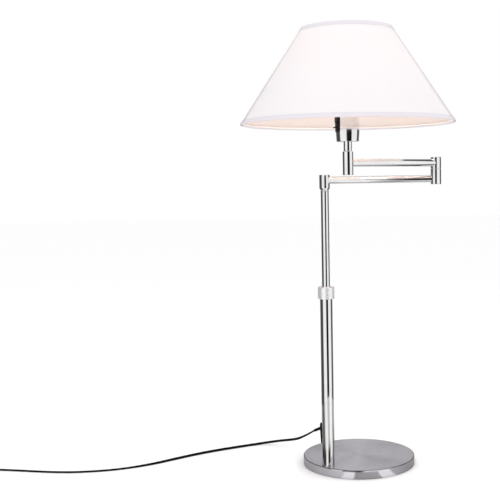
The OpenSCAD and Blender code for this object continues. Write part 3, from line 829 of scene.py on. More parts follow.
def fit(
    piece: Piece, finish: Material, body: Body, nodes: Sequence[str] = ()
) -> Piece:
    """Gives a finished piece its finish and its body.

    Args:
        piece: The piece.
        finish: Its material.
        body: The body that it rides on.
        nodes: The plain parts that it stands for.

    Returns:
        The piece.
    """
    piece.data.materials.clear()
    piece.data.materials.append(finish)
    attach(piece, body.value)
    if nodes:
        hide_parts(*nodes)
    LOG.info("%s: %d faces, on %s", piece.name, len(piece.data.polygons), body.value)
    return piece


def dress(finish: Material, *names: str) -> None:
    """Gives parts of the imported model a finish.

    Args:
        finish: The material.
        names: The names of the parts.
    """
    for name in names:
        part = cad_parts[name]
        if not part.material_slots:
            part.data.materials.append(finish)
        for holder in part.material_slots:
            holder.material = finish
    LOG.info("%s: %s", finish.name, ", ".join(names))


def corners(node: str) -> tuple[Vector, Vector]:
    """Gives the low and the high corner of a part's box."""
    low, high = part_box(node)
    return Vector(low), Vector(high)


def middle(node: str) -> Vector:
    """Gives the centre of a part's box."""
    low, high = corners(node)
    return (low + high) / 2.0


def round_part(node: str) -> tuple[Vector, float, float, float]:
    """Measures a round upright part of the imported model.

    Args:
        node: The part's name.

    Returns:
        The centre of its box, its radius, and the heights of its foot and its top.
    """
    low, high = corners(node)
    return (low + high) / 2.0, (high.x - low.x) / 2.0, low.z, high.z


# -------------------------------------------------------------------------------------------------
# Camera, lights and floor
# -------------------------------------------------------------------------------------------------


def bands_round(wire: Wiring, place: Socket, centre: tuple[float, float], bands: Bands) -> Socket:
    """Gives grey bands that stand round an upright axis, like the cards of a light tent.

    Args:
        wire: The material's wiring.
        place: The coordinates.
        centre: The axis.
        bands: Angles in degrees, from -180 to 180, each with its brightness. Zero is the camera's side.

    Returns:
        The colour.
    """
    axes = wire.add("SeparateXYZ", Vector=place).outputs
    across = wire.maths("SUBTRACT", axes[0], centre[0])
    ahead = wire.maths("SUBTRACT", centre[1], axes[1])
    angle = wire.maths("ARCTAN2", across, ahead)
    ramp = wire.add("ValToRGB", Fac=wire.spread(angle, 0.0, 1.0, -math.pi, math.pi))
    stops = ramp.color_ramp.elements
    for degrees, value in bands:
        turn_share = degrees / 360.0 + 0.5
        stop = stops.new(turn_share) if 0.0 < turn_share < 1.0 else stops[0 if turn_share == 0.0 else -1]
        stop.color = (value, value, value, 1.0)
    return ramp.outputs[0]


@dataclass
class Studio:
    """The camera, the soft lights, and the pale floor that the lamp stands on.

    Each row of bands holds angles in degrees with their brightness. The floor has three rows, which the
    metal sees: near the base, round its foot and far away, with the reach where one turns into the next.
    """

    post: tuple[float, float]
    eye: Vector = field(default_factory=lambda: Vector((-0.1036, -1.904, 0.583)))
    dip: float = 4.114
    roll: float = 0.911
    lens: float = 66.9
    shift: float = -0.112
    floor_radius: float = 14.0
    tent_radius: float = 0.60
    tent_height: float = 1.7
    tent_centre: tuple[float, float] = (-0.03, -0.12)
    tent_bands: Bands = (
        (-180, 0.64), (-150, 0.40), (-130, 0.10), (-95, 0.06), (-72, 0.12), (-66, 1.0), (-15, 1.0),
        (-8, 0.18), (-3, 0.01), (28, 0.01), (33, 1.0), (86, 1.0), (91, 0.10), (130, 0.10),
        (150, 0.62), (180, 0.64),
    )
    floor_colour: Colour = (0.985, 0.985, 0.985)
    near_bands: Bands = (
        (-180, 0.45), (-80, 0.42), (-40, 0.62), (-24, 0.66), (-20, 1.0), (-9, 1.0), (-8, 0.36),
        (21, 0.46), (22, 1.0), (37, 1.0), (40, 0.48), (70, 0.36), (180, 0.45),
    )
    near_edge: tuple[float, float] = (0.158, 0.166)
    foot_bands: Bands = (
        (-180, 0.50), (-110, 0.01), (-45, 0.02), (-36, 0.80), (-6, 0.90), (-2, 0.01), (34, 0.01),
        (42, 0.90), (75, 0.80), (95, 0.20), (180, 0.50),
    )
    foot_edge: tuple[float, float] = (0.24, 0.32)
    far_bands: Bands = (
        (-180, 0.60), (-95, 0.08), (-72, 0.16), (-60, 0.80), (-18, 0.90), (-8, 0.50), (25, 0.50),
        (36, 0.95), (75, 0.90), (95, 0.30), (180, 0.60),
    )

    def build(self) -> None:
        """Sets up everything that isn't the lamp."""
        self.place_camera()
        self.lay_floor()
        self.hang_tent()
        self.light_world()
        self.add_lights()
        bpy.context.scene.view_settings.view_transform = "Standard"

    def place_camera(self) -> None:
        """Places the camera in front of the lamp, dipped and rolled a little."""
        dip, roll = math.radians(self.dip), math.radians(self.roll)
        forward = Vector((0.0, math.cos(dip), -math.sin(dip)))
        right = Vector((1.0, 0.0, 0.0))
        up = right.cross(forward)
        across = math.cos(roll) * right - math.sin(roll) * up
        upward = math.sin(roll) * right + math.cos(roll) * up
        data = bpy.data.cameras.new("camera")
        data.lens = self.lens
        data.sensor_width = 36.0
        data.shift_x = self.shift
        data.clip_end = 100.0
        camera = bpy.data.objects.new("camera", data)
        bpy.context.scene.collection.objects.link(camera)
        turned = Matrix((across, upward, -forward)).transposed().to_4x4()
        camera.matrix_world = Matrix.Translation(self.eye) @ turned
        bpy.context.scene.camera = camera

    def lay_floor(self) -> None:
        """Lays a round pale floor."""
        clear_selection()
        bpy.ops.mesh.primitive_circle_add(vertices=128, radius=self.floor_radius, fill_type="NGON")
        floor = bpy.context.object
        floor.name = "floor"
        floor.data.materials.append(self.floor_finish())

    def floor_finish(self) -> Material:
        """Makes the matt finish of the floor, which the metal sees as grey and white bands.

        Returns:
            The material.
        """
        material, wire, surface, place = Moulding("pale floor", self.floor_colour, 0.85).shader()
        seen = wire.add("LightPath").outputs["Is Glossy Ray"]
        near = bands_round(wire, place, (0.0, 0.0), self.near_bands)
        foot = bands_round(wire, place, self.post, self.foot_bands)
        far = bands_round(wire, place, self.tent_centre, self.far_bands)
        reach = wire.distance(place)
        inner = wire.spread(reach, 0.0, 1.0, *self.near_edge)
        outer = wire.spread(reach, 0.0, 1.0, *self.foot_edge)
        reflected = wire.blend(outer, wire.blend(inner, near, foot), far)
        wire.set(surface, Base_Color=wire.blend(seen, self.floor_colour, reflected))
        return material

    def hang_tent(self) -> None:
        """Hangs the cards of a light tent, which show only as reflections in the metal."""
        clear_selection()
        middle_height = self.tent_height / 2.0
        bpy.ops.mesh.primitive_cylinder_add(
            vertices=96, radius=self.tent_radius, depth=self.tent_height, end_fill_type="NOTHING",
            location=(0.0, 0.0, 0.0),
        )
        tent = bpy.context.object
        tent.name = "light_tent"
        tent.data.transform(Matrix.Translation((*self.tent_centre, middle_height + 0.01)))
        material = bpy.data.materials.new("tent cards")
        material.use_nodes = True
        material.node_tree.nodes.clear()
        wire = Wiring(material.node_tree)
        cards = bands_round(wire, wire.add("TexCoord").outputs["Object"], self.tent_centre, self.tent_bands)
        glow = wire.add("Emission", Color=cards, Strength=1.0)
        wire.add("OutputMaterial", Surface=glow.outputs[0])
        tent.data.materials.append(material)
        for way in ("visible_camera", "visible_diffuse", "visible_shadow", "visible_transmission"):
            setattr(tent, way, False)

    def light_world(self) -> None:
        """Fills the room with even white light."""
        world = bpy.data.worlds.new("white room")
        world.use_nodes = True
        bpy.context.scene.world = world
        tree = world.node_tree
        Wiring(tree).set(tree.nodes["Background"], Color=(1.0, 1.0, 1.0, 1.0), Strength=1.0)

    def add_lights(self) -> None:
        """Adds two large soft lights, which don't show in the metal."""
        for name, place, size, power in (
            ("key_light", Vector((-0.2, -1.9, 1.9)), 1.4, 9.0),
            ("rim_light", Vector((1.4, 0.7, 1.8)), 1.2, 6.0),
        ):
            data = bpy.data.lights.new(name, "AREA")
            data.energy = power
            data.size = size
            lamp = bpy.data.objects.new(name, data)
            bpy.context.scene.collection.objects.link(lamp)
            aim = (Vector((0.0, -0.1, 0.4)) - place).to_track_quat("-Z", "Y")
            lamp.matrix_world = Matrix.Translation(place) @ aim.to_matrix().to_4x4()
            lamp.visible_glossy = False


# -------------------------------------------------------------------------------------------------
# Mains lead
# -------------------------------------------------------------------------------------------------


def smooth_between(before: float, start: float, end: float, after: float, share: float) -> float:
    """Gives a value on the smooth curve from start to end, led by the values on either side.

    Args:
        before: The value before the stretch.
        start: The value at its start.
        end: The value at its end.
        after: The value after the stretch.
        share: How far along the stretch the point is, from 0 to 1.

    Returns:
        The value there.
    """
    square = 2 * before - 5 * start + 4 * end - after
    cube = 3 * start - before - 3 * end + after
    return 0.5 * (2 * start + (end - before) * share + square * share**2 + cube * share**3)


@dataclass
class MainsLead:
    """The flat two-core lead, from the nozzle on the post to its plug, with the spare length coiled."""

    finishes: Finishes
    width: float = 5.4 * MM
    thickness: float = 3.4 * MM
    length: float = 1.8
    post_radius: float = 13.0 * MM
    outlet: float = 93.0 * MM
    outlet_azimuth: float = 155.0
    nozzle_azimuth: float = 150.0
    nozzle_dip: float = 25.0
    nozzle_length: float = 20.0 * MM
    route: tuple[Spot, ...] = (
        (-0.106, -0.036, 0.071, 40), (-0.117, 0.0, 0.056, 60), (-0.128, 0.044, 0.040, 75),
        (-0.143, 0.090, 0.025, 85), (-0.165, 0.127, 0.013, 90), (-0.196, 0.143, 0.005, 90),
        (-0.230, 0.134, 0.0028, 90), (-0.270, 0.114, 0.0028, 90), (-0.310, 0.092, 0.0028, 85),
        (-0.350, 0.066, 0.0027, 70), (-0.390, 0.036, 0.0025, 50), (-0.430, 0.006, 0.0022, 30),
        (-0.470, -0.016, 0.0019, 10), (-0.510, -0.031, 0.0018, 0), (-0.550, -0.039, 0.0018, 0),
        (-0.590, -0.042, 0.0018, 0), (-0.630, -0.039, 0.0018, 0), (-0.670, -0.032, 0.0018, 0),
        (-0.710, -0.024, 0.0018, 0), (-0.750, -0.017, 0.0018, 0), (-0.780, -0.013, 0.0018, 0),
        (-0.800, -0.012, 0.0018, 0),
    )
    coil_outer: float = 35.6 * MM
    coil_inner: float = 24.4 * MM
    layer: float = 3.5 * MM
    turns: float = 4.25
    turn_points: int = 32
    tail: tuple[Spot, ...] = (
        (-0.851, 0.031, 0.0054, 0), (-0.851, 0.040, 0.0054, 0),
        (-0.851, 0.051, 0.0062, 0), (-0.851, 0.062, 0.0068, 0),
    )
    strap_azimuth: float = 60.0
    strap_reach: float = 30.0 * MM
    strap_width: float = 12.0 * MM
    coil_width: float = 16.8 * MM
    span_steps: int = 4
    section_points: int = 20

    def build(self) -> None:
        """Makes the lead, its nozzle, its tie and its plug."""
        nozzle = self.make_nozzle()
        tie = self.make_tie()
        plug = self.make_plug()
        path = self.path()
        lead = self.sweep("lead_sheath", path)
        smooth(lead, 60.0)
        fit(lead, self.finishes.sheath, Body.BASE, ("mains_lead", "lead_coil", "lead_tail"))
        dress(self.finishes.nickel, "plug_pins")
        dress(self.finishes.black, "lead_grommet")
        dress(self.finishes.core_sheath, "base_lead", "post_lead", "lower_arm_lead", "upper_arm_lead")

    def heading(self) -> Vector:
        """Gives the direction of the nozzle."""
        dip, azimuth = math.radians(self.nozzle_dip), math.radians(self.nozzle_azimuth)
        return Vector((math.cos(dip) * math.cos(azimuth), math.cos(dip) * math.sin(azimuth), -math.sin(dip)))

    def root(self) -> Vector:
        """Gives the foot of the nozzle on the post."""
        return polar(middle("outer_tube"), self.post_radius, math.radians(self.outlet_azimuth), self.outlet)

    def tip(self) -> Vector:
        """Gives the point where the lead leaves the nozzle."""
        return self.root() + self.nozzle_length * self.heading()

    def path(self) -> list[Spot]:
        """Works out the whole centre line, with the roll of the lead in degrees at each point.

        Returns:
            The points of the line, each with its roll.
        """
        first = (*self.tip(), 20.0)
        free = self.curve([first, *self.route])
        tail = self.curve(list(self.tail))
        return [*free, *self.coil(), *tail]

    def curve(self, points: list[Spot]) -> list[Spot]:
        """Draws a smooth line through points.

        Args:
            points: The points, each with its roll.

        Returns:
            The points of the smooth line.
        """
        line = []
        last = len(points) - 1
        for index in range(last):
            a, b, c, d = (points[k] for k in (max(index - 1, 0), index, index + 1, min(index + 2, last)))
            for step in range(self.span_steps):
                line.append(tuple(smooth_between(*four, step / self.span_steps) for four in zip(a, b, c, d)))
        return [*line, tuple(points[last])]

    def coil(self) -> list[Spot]:
        """Winds the spare length: two layers, inwards below and outwards above.

        Returns:
            The points of the turns, each with its roll.
        """
        centre = middle("lead_coil")
        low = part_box("lead_coil")[0][2] + self.thickness / 2.0
        pitch = (self.coil_outer - self.coil_inner) / 2.0
        line = []
        count = round(self.turns * self.turn_points)
        for step in range(3, count + 1):
            turned = step / self.turn_points
            inward = self.coil_outer - pitch * turned
            outward = self.coil_inner + pitch * (turned - 2.0)
            radius = min(inward if turned < 2.0 else outward, self.coil_outer)
            rise = min(max((turned - 1.8) / 0.4, 0.0), 1.0)
            angle = math.radians(-90.0) - math.tau * turned
            lift = low + self.layer * rise * rise * (3.0 - 2.0 * rise)
            line.append((*polar(centre, radius, angle, lift), 0.0))
        return line

    def section(self) -> Outline:
        """Gives the outline of the flat lead: two cores side by side with a shallow groove between them.

        Returns:
            The points of the outline, across and through the lead.
        """
        points = []
        for index in range(self.section_points):
            angle = math.tau * index / self.section_points
            across = self.width / 2.0 * math.cos(angle)
            groove = 1.0 - 0.16 * math.exp(-((across / (0.6 * MM)) ** 2))
            rise = math.copysign(abs(math.sin(angle)) ** 0.75, math.sin(angle))
            points.append((across, self.thickness / 2.0 * rise * groove))
        return points

    def sweep(self, name: str, path: list[Spot]) -> Piece:
        """Sweeps the section of the lead along a line.

        Args:
            name: The piece's name.
            path: The points of the line, each with its roll in degrees.

        Returns:
            The swept piece, closed at both ends.
        """
        mesh = bpy.data.meshes.new(name)
        work = bmesh.new()
        section = self.section()
        rings = []
        for index, point in enumerate(path):
            after = Vector(path[min(index + 1, len(path) - 1)][:3])
            before = Vector(path[max(index - 1, 0)][:3])
            along = (after - before).normalized()
            side = along.cross(UP).normalized()
            up = side.cross(along)
            roll = math.radians(point[3])
            flat = math.cos(roll) * side + math.sin(roll) * up
            thick = math.cos(roll) * up - math.sin(roll) * side
            rings.append([work.verts.new(Vector(point[:3]) + u * flat + v * thick) for u, v in section])
        count = len(section)
        for near, far in zip(rings, rings[1:]):
            for k in range(count):
                work.faces.new((near[k], near[(k + 1) % count], far[(k + 1) % count], far[k]))
        work.faces.new(rings[0])
        work.faces.new(rings[-1])
        bmesh.ops.recalc_face_normals(work, faces=work.faces)
        work.to_mesh(mesh)
        work.free()
        piece = bpy.data.objects.new(name, mesh)
        bpy.context.scene.collection.objects.link(piece)
        return piece

    def ribbed_sleeve(self, name: str, wide: float, narrow: float, length: float, ribs: int) -> Piece:
        """Turns a tapered sleeve with soft ribs, along +Z from the origin.

        Args:
            name: The piece's name.
            wide: Its radius at the foot.
            narrow: Its radius at the tip.
            length: Its length.
            ribs: How many ribs it has.

        Returns:
            The sleeve.
        """
        pitch = length * 0.78 / ribs
        outline: Outline = [(0.0, 0.0), (wide, 0.0)]
        for rib in range(ribs):
            start = length * 0.12 + rib * pitch
            at = [start, start + pitch * 0.15, start + pitch * 0.55, start + pitch * 0.70]
            for height, share in zip(at, (0.86, 1.0, 1.0, 0.86)):
                outline.append(((wide + (narrow - wide) * height / length) * share, height))
        outline += [(narrow * 0.92, length * 0.94), (narrow * 0.86, length), (0.0, length)]
        return turn(name, outline, steps=32)

    def make_nozzle(self) -> Piece:
        """Makes the tapered strain relief on the post.

        Returns:
            The nozzle.
        """
        nozzle = self.ribbed_sleeve("strain_relief_sleeve", 3.3 * MM, 2.9 * MM, self.nozzle_length, 5)
        aim = self.heading().to_track_quat("Z", "Y").to_matrix().to_4x4()
        nozzle.data.transform(Matrix.Translation(self.root()) @ aim)
        soften(nozzle, 0.12 * MM)
        smooth(nozzle)
        return fit(nozzle, self.finishes.black, Body.BASE, ("strain_relief",))

    def make_tie(self) -> Piece:
        """Makes the strap round the coil.

        Returns:
            The strap.
        """
        low, high = corners("lead_coil")
        angle = math.radians(self.strap_azimuth)
        play = 0.2 * MM
        strap = blank("lead_strap", Blank.CUBE)
        strap.data.transform(
            Matrix.Diagonal((self.coil_width + play, self.strap_width, high.z - low.z + play, 1.0))
        )
        bpy.ops.object.mode_set(mode="EDIT")
        pick(strap, Kind.FACES, lambda face: abs(face.normal.y) > 0.9)
        bpy.ops.mesh.delete(type="ONLY_FACE")
        pick(strap, Kind.EDGES, lambda edge: abs((edge.verts[1].co - edge.verts[0].co).normalized().y) > 0.9)
        bpy.ops.mesh.bevel(offset=1.4 * MM, segments=4)
        bpy.ops.object.mode_set(mode="OBJECT")
        thicken(strap, 0.5 * MM)
        centre = middle("lead_coil")
        place = polar(centre, self.strap_reach, angle, centre.z)
        strap.data.transform(Matrix.Translation(place) @ Matrix.Rotation(angle, 4, "Z"))
        soften(strap, 0.12 * MM)
        smooth(strap)
        return fit(strap, self.finishes.strap, Body.BASE, ("lead_tie",))

    def make_plug(self) -> Piece:
        """Makes the plug: a waisted grip with ribs, and the sleeve where the lead goes in.

        Returns:
            The plug.
        """
        low, high = corners("plug_body")
        sleeve_length = 14.0 * MM
        centre_x, centre_z = (low.x + high.x) / 2.0, (low.z + high.z) / 2.0
        front, back = high.y, low.y + sleeve_length
        grip = blank("plug_shell", Blank.CUBE)
        length = front - back
        grip.data.transform(
            Matrix.Translation((centre_x, (front + back) / 2.0, centre_z))
            @ Matrix.Diagonal((high.x - low.x, length, high.z - low.z, 1.0))
        )
        waist = {0.0: 0.58, 0.28: 0.74, 0.42: 0.80, 0.56: 0.86, 0.72: 0.92, 0.80: 1.0, 1.0: 1.0}
        bpy.ops.object.mode_set(mode="EDIT")
        for cut in list(waist)[1:-1]:
            bpy.ops.mesh.select_all(action="SELECT")
            bpy.ops.mesh.bisect(plane_co=(centre_x, back + cut * length, centre_z), plane_no=(0.0, 1.0, 0.0))
        work = bmesh.from_edit_mesh(grip.data)
        for vertex in work.verts:
            along = (vertex.co.y - back) / length
            share = waist[min(waist, key=lambda key: abs(key - along))]
            vertex.co.x = centre_x + (vertex.co.x - centre_x) * share
        bmesh.update_edit_mesh(grip.data)
        bpy.ops.object.mode_set(mode="OBJECT")
        soften(grip, 1.8 * MM, 4, 30.0)
        sleeve = self.ribbed_sleeve("plug_sleeve", 5.0 * MM, 3.3 * MM, sleeve_length, 4)
        overlap = 0.5 * MM
        sleeve.data.transform(
            Matrix.Translation((centre_x, back + overlap, centre_z))
            @ Matrix.Rotation(math.radians(90.0), 4, "X")
        )
        plug = join("plug_shell", [grip, sleeve])
        smooth(plug)
        return fit(plug, self.finishes.black, Body.BASE, ("plug_body",))


# -------------------------------------------------------------------------------------------------
# Shade
# -------------------------------------------------------------------------------------------------


@dataclass
class Shade:
    """The cloth shade on its stiff lining, with taped hems, wires and a fitter."""

    finishes: Finishes
    top_radius: float = 80.0 * MM
    cloth: float = 0.8 * MM
    gap: float = 0.05 * MM
    lining: float = 0.55 * MM
    hem: float = 8.0 * MM
    inner_hem: float = 6.0 * MM
    tape: float = 0.45 * MM
    lap: float = 9.0 * MM
    seam_azimuth: float = 62.0
    steps: int = 160

    def __post_init__(self) -> None:
        """Reads the size and place of the shade from the imported cloth part."""
        self.axis, self.rim_radius, self.rim, top = round_part("shade_fabric")
        self.height = top - self.rim
        self.slant = math.hypot(self.rim_radius - self.top_radius, self.height)

    def build(self) -> None:
        """Makes the cloth, the lining and the hems, and dresses the wires."""
        tapes = [self.make_tape("hem_tape_rim", False), self.make_tape("hem_tape_top", True)]
        hems = join("shade_hems", tapes)
        smooth(hems, 50.0)
        self.unroll(hems)
        fit(hems, self.finishes.tape, Body.UPPER_ARM, ("shade_hem_tapes",))
        cloth = self.make_wall("shade_cloth", 0.0, self.cloth)
        fit(cloth, self.finishes.cloth, Body.UPPER_ARM, ("shade_fabric",))
        lining = self.make_wall("shade_stiffener", self.cloth + self.gap, self.cloth + self.gap + self.lining)
        fit(lining, self.finishes.lining, Body.UPPER_ARM, ("shade_lining",))
        seam = self.make_seam()
        fit(seam, self.finishes.cloth, Body.UPPER_ARM)
        dress(self.finishes.white_paint, "shade_carrier", "shade_top_wire", "shade_bottom_wire")
        self.make_ring_nuts()

    def at(self, along: float, out: float) -> tuple[float, float]:
        """Gives a point on the section of the wall.

        Args:
            along: How far up the slant from the rim it is.
            out: How far outside the cloth it is.

        Returns:
            Its radius and height.
        """
        share = along / self.slant
        outward = (self.height / self.slant, (self.rim_radius - self.top_radius) / self.slant)
        radius = self.rim_radius + (self.top_radius - self.rim_radius) * share + out * outward[0]
        return radius, self.rim + self.height * share + out * outward[1]

    def make_wall(self, name: str, outer: float, inner: float) -> Piece:
        """Makes one layer of the shade, a cone with level rows of faces.

        Args:
            name: The piece's name.
            outer: How far the layer's outside lies within the shade's outside.
            inner: How far the layer's inside lies within the shade's outside.

        Returns:
            The layer.
        """
        count = 10
        rows = [self.slant * k / count for k in range(count + 1)]
        outline = [self.at(row, -outer) for row in rows] + [self.at(row, -inner) for row in reversed(rows)]
        wall = turn(name, outline, self.steps, closed=True)
        stand_on(wall, self.axis)
        smooth(wall, 50.0)
        self.unroll(wall)
        return wall

    def make_tape(self, name: str, upper: bool) -> Piece:
        """Makes a tape folded over an edge of the shade.

        Args:
            name: The piece's name.
            upper: Whether it is the top edge.

        Returns:
            The tape.
        """
        wall = self.cloth + self.gap + self.lining
        edge, way = (self.slant, -1.0) if upper else (0.0, 1.0)
        thick, fold, glue, round_off = self.tape, 0.12 * MM, 0.02 * MM, 0.3 * MM
        inside, deep = -wall, self.inner_hem
        marks = [
            (self.hem, glue), (self.hem, thick * 0.8), (self.hem - round_off, thick),
            (self.hem * 0.5, thick * 1.05), (0.2 * MM, thick), (-0.25 * MM, thick * 0.7), (-thick, 0.0),
            (-thick, inside * 0.5), (-thick, inside), (-0.25 * MM, inside - thick * 0.7),
            (round_off, inside - thick), (deep - round_off, inside - thick), (deep, inside - thick * 0.8),
            (deep, inside - glue), (fold, inside - glue), (-0.05 * MM, inside * 0.5), (fold, glue),
        ]
        outline = [self.at(edge + way * along, out) for along, out in marks]
        tape = turn(name, outline, self.steps, closed=True)
        stand_on(tape, self.axis)
        return tape

    def make_seam(self) -> Piece:
        """Makes the lap where the two ends of the cloth are glued, on the side away from the front.

        Returns:
            The lap.
        """
        lap = blank("shade_seam", Blank.PLANE)
        bpy.ops.object.mode_set(mode="EDIT")
        bpy.ops.mesh.select_all(action="SELECT")
        bpy.ops.mesh.subdivide(number_cuts=11)
        work = bmesh.from_edit_mesh(lap.data)
        azimuth = math.radians(self.seam_azimuth)
        for vertex in work.verts:
            along = self.hem + (vertex.co.y + 0.5) * (self.slant - 2.0 * self.hem)
            radius, height = self.at(along, 0.05 * MM)
            angle = azimuth + vertex.co.x * self.lap / radius
            vertex.co = polar(self.axis, radius, angle, height)
        bmesh.update_edit_mesh(lap.data)
        bpy.ops.mesh.normals_make_consistent(inside=False)
        bpy.ops.object.mode_set(mode="OBJECT")
        outward = sum(face.normal.dot(face.center - self.axis) for face in lap.data.polygons)
        thicken(lap, 0.3 * MM, 1.0 if outward > 0.0 else -1.0)
        smooth(lap, 50.0)
        self.unroll(lap)
        return lap

    def unroll(self, piece: Piece) -> None:
        """Maps a piece of the shade as it was cut, in metres, so that the threads run true.

        Args:
            piece: The piece, in its place round the shade's axis.
        """
        layer = piece.data.uv_layers.get("cut") or piece.data.uv_layers.new(name="cut")
        mesh = piece.data
        for face in mesh.polygons:
            base = math.atan2(face.center.y - self.axis.y, face.center.x - self.axis.x)
            for corner in face.loop_indices:
                spot = mesh.vertices[mesh.loops[corner].vertex_index].co
                angle = math.atan2(spot.y - self.axis.y, spot.x - self.axis.x)
                if angle - base > math.pi:
                    angle -= math.tau
                if base - angle > math.pi:
                    angle += math.tau
                up = (spot.z - self.rim) / self.height * self.slant
                layer.data[corner].uv = (angle * self.rim_radius, up)

    def make_ring_nuts(self) -> None:
        """Makes the two ring nuts that clamp the fitter, with grips round their rims."""
        _, radius, foot, top = round_part("shade_rings")
        bore, thick = 18.5 * MM, 4.0 * MM
        outline = [(bore, 0.0), (radius, 0.0), (radius, thick), (bore, thick)]

        def is_grip(face: bmesh.types.BMFace) -> bool:
            """Tells whether a face is one in three of those round the rim.

            Args:
                face: A face of the ring nut.

            Returns:
                Whether it is sunk.
            """
            spot = face.calc_center_median()
            around = round(math.degrees(math.atan2(spot.y, spot.x)) / 5.0 - 0.5)
            outside = math.hypot(spot.x, spot.y) > radius - 0.3 * MM
            return outside and abs(face.normal.z) < 0.1 and around % 3 == 0

        nuts = []
        for level in (foot, top - thick):
            nut = turn("ring_nut", outline, steps=72, closed=True)
            bpy.ops.object.mode_set(mode="EDIT")
            pick(nut, Kind.FACES, is_grip)
            bpy.ops.mesh.inset(thickness=0.35 * MM, depth=-0.5 * MM, use_individual=True)
            bpy.ops.object.mode_set(mode="OBJECT")
            stand_on(nut, self.axis, level)
            nuts.append(nut)
        ring_nuts = join("shade_ring_nuts", nuts)
        soften(ring_nuts, 0.15 * MM)
        smooth(ring_nuts)
        fit(ring_nuts, self.finishes.ring_plastic, Body.UPPER_ARM, ("shade_rings",))


# -------------------------------------------------------------------------------------------------
# Bulb and lampholder
# -------------------------------------------------------------------------------------------------


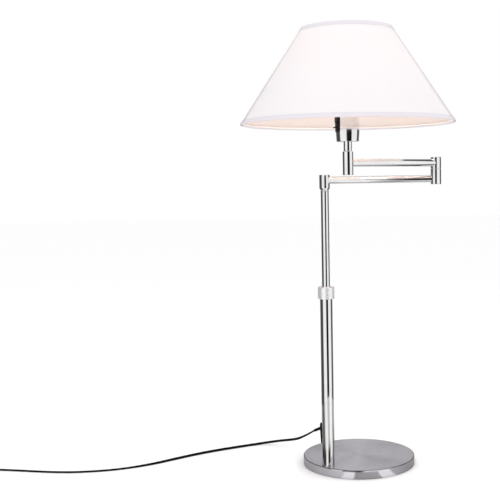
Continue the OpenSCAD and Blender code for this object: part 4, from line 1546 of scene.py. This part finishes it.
@dataclass
class Lampholder:
    """The lampholder and the bulb that is screwed into it."""

    finishes: Finishes
    thread_pitch: float = 3.6 * MM
    thread_depth: float = 0.7 * MM

    def build(self) -> None:
        """Makes the bulb and its cap, and dresses the shells of the holder."""
        self.make_bulb()
        self.make_cap()
        self.make_thread_shell()
        dress(self.finishes.chrome, "holder_cup", "holder_sleeve", "neck_tube")
        dress(self.finishes.porcelain, "holder_core")
        dress(self.finishes.brass, "centre_contact")
        dress(self.finishes.black, "switch_body", "switch_lever")
        dress(self.finishes.steel, "stem_nipple", "stem_nut")

    def make_bulb(self) -> None:
        """Blows the bulb: a round head that runs into its neck on a smooth line."""
        axis, radius, bottom, top = round_part("bulb_glass")
        neck, wall = 12.6 * MM, 0.8 * MM
        head = arc((0.0, top - radius), radius, 90.0, -38.0, 26)
        shoulder, foot = head[-1], (neck, bottom)
        pull = (shoulder[0] - 12.0 * MM, shoulder[1] - 15.0 * MM)
        sweep = []
        for k in range(1, 10):
            t = k / 10.0
            sweep.append(tuple(
                (1 - t) ** 2 * a + 2 * t * (1 - t) * b + t * t * c for a, b, c in zip(shoulder, pull, foot)
            ))
        outline = [*head, *sweep, foot]
        inner = [(max(r - wall, 0.0), z) for r, z in reversed(outline)]
        inner[-1] = (0.0, top - wall)
        bulb = turn("bulb_envelope", outline + inner, 48)
        stand_on(bulb, axis)
        smooth(bulb, 60.0)
        fit(bulb, self.finishes.opal, Body.UPPER_ARM, ("bulb_glass",))

    def thread(self, radius: float, low: float, high: float) -> Outline:
        """Gives the rounded ridges of a rolled thread, from the bottom up.

        Args:
            radius: The radius over the ridges.
            low: The height where they begin.
            high: The height where they end.

        Returns:
            The points of the outline.
        """
        ridges = int((high - low) / self.thread_pitch)
        points = []
        for k in range(ridges * 6 + 1):
            wave = 0.5 - 0.5 * math.cos(math.tau * k / 6.0)
            points.append((radius - self.thread_depth * (1.0 - wave), low + k * self.thread_pitch / 6.0))
        return points

    def make_cap(self) -> None:
        """Rolls the bulb's threaded cap, with its insulator and centre contact."""
        axis, radius, foot, top = round_part("bulb_cap")
        tip = [(0.0, foot), (3.6 * MM, foot), (4.4 * MM, foot + 0.5 * MM), (4.8 * MM, foot + 1.4 * MM)]
        cone = [(radius - 3.2 * MM, foot + 4.0 * MM), (radius - 1.0 * MM, foot + 5.6 * MM)]
        ridges = self.thread(radius, foot + 6.2 * MM, top - 2.4 * MM)
        collar = [(radius - 0.2 * MM, top - 1.2 * MM), (radius - 0.5 * MM, top), (0.0, top)]
        cap = turn("bulb_screw_cap", [*tip, *cone, *ridges, *collar], 48)
        stand_on(cap, axis)
        smooth(cap, 50.0)
        fit(cap, self.finishes.tin, Body.UPPER_ARM, ("bulb_cap",))

    def make_thread_shell(self) -> None:
        """Presses the threaded brass shell in the holder's core."""
        axis, radius, foot, top = round_part("thread_shell")
        wall, root = 0.4 * MM, radius - self.thread_depth
        ridges = self.thread(radius, foot + 2.0 * MM, top - 1.0 * MM)
        outside = [(root, foot), *ridges, (root, top)]
        inside = [(r - wall, z) for r, z in reversed(outside)]
        shell = turn("holder_thread", outside + inside, 48, closed=True)
        stand_on(shell, axis)
        smooth(shell, 50.0)
        fit(shell, self.finishes.brass, Body.UPPER_ARM, ("thread_shell",))


# -------------------------------------------------------------------------------------------------
# Base, post and arms
# -------------------------------------------------------------------------------------------------


@dataclass
class Stand:
    """The base and the telescopic post."""

    finishes: Finishes

    def build(self) -> None:
        """Dresses the parts of the base and the post."""
        dress(self.finishes.base_top, "base_cover")
        dress(self.finishes.felt, "base_felt")
        dress(self.finishes.cast, "base_weight")
        dress(self.finishes.steel, "foot_washer", "foot_nut", "tube_foot", "post_spindle", "post_nut")
        dress(self.finishes.nylon, "guide_bush", "stop_ring", "post_washer")
        dress(self.finishes.collar, "lock_collar")
        dress(self.finishes.chrome, "outer_tube", "inner_tube")


@dataclass
class Arms:
    """The two folding arms, and the swivels at the post and the elbow."""

    finishes: Finishes

    def build(self) -> None:
        """Dresses the parts of the arms."""
        dress(self.finishes.chrome, "swivel_head", "swivel_cap", "lower_arm_tube", "elbow_lower_knuckle")
        dress(self.finishes.chrome, "elbow_upper_knuckle", "elbow_cap", "upper_arm_tube", "stem_knuckle")
        dress(self.finishes.steel, "elbow_spindle", "elbow_nut")
        dress(self.finishes.nylon, "elbow_washer")


def main() -> None:
    """Builds the lamp and its studio, and reports each piece."""
    logging.basicConfig(level=logging.INFO, format="%(name)s: %(message)s")
    post = middle("outer_tube")
    finishes = Finishes(post)
    Studio((post.x, post.y)).build()
    MainsLead(finishes).build()
    Stand(finishes).build()
    Arms(finishes).build()
    Lampholder(finishes).build()
    Shade(finishes).build()


if __name__ == "__main__":
    main()
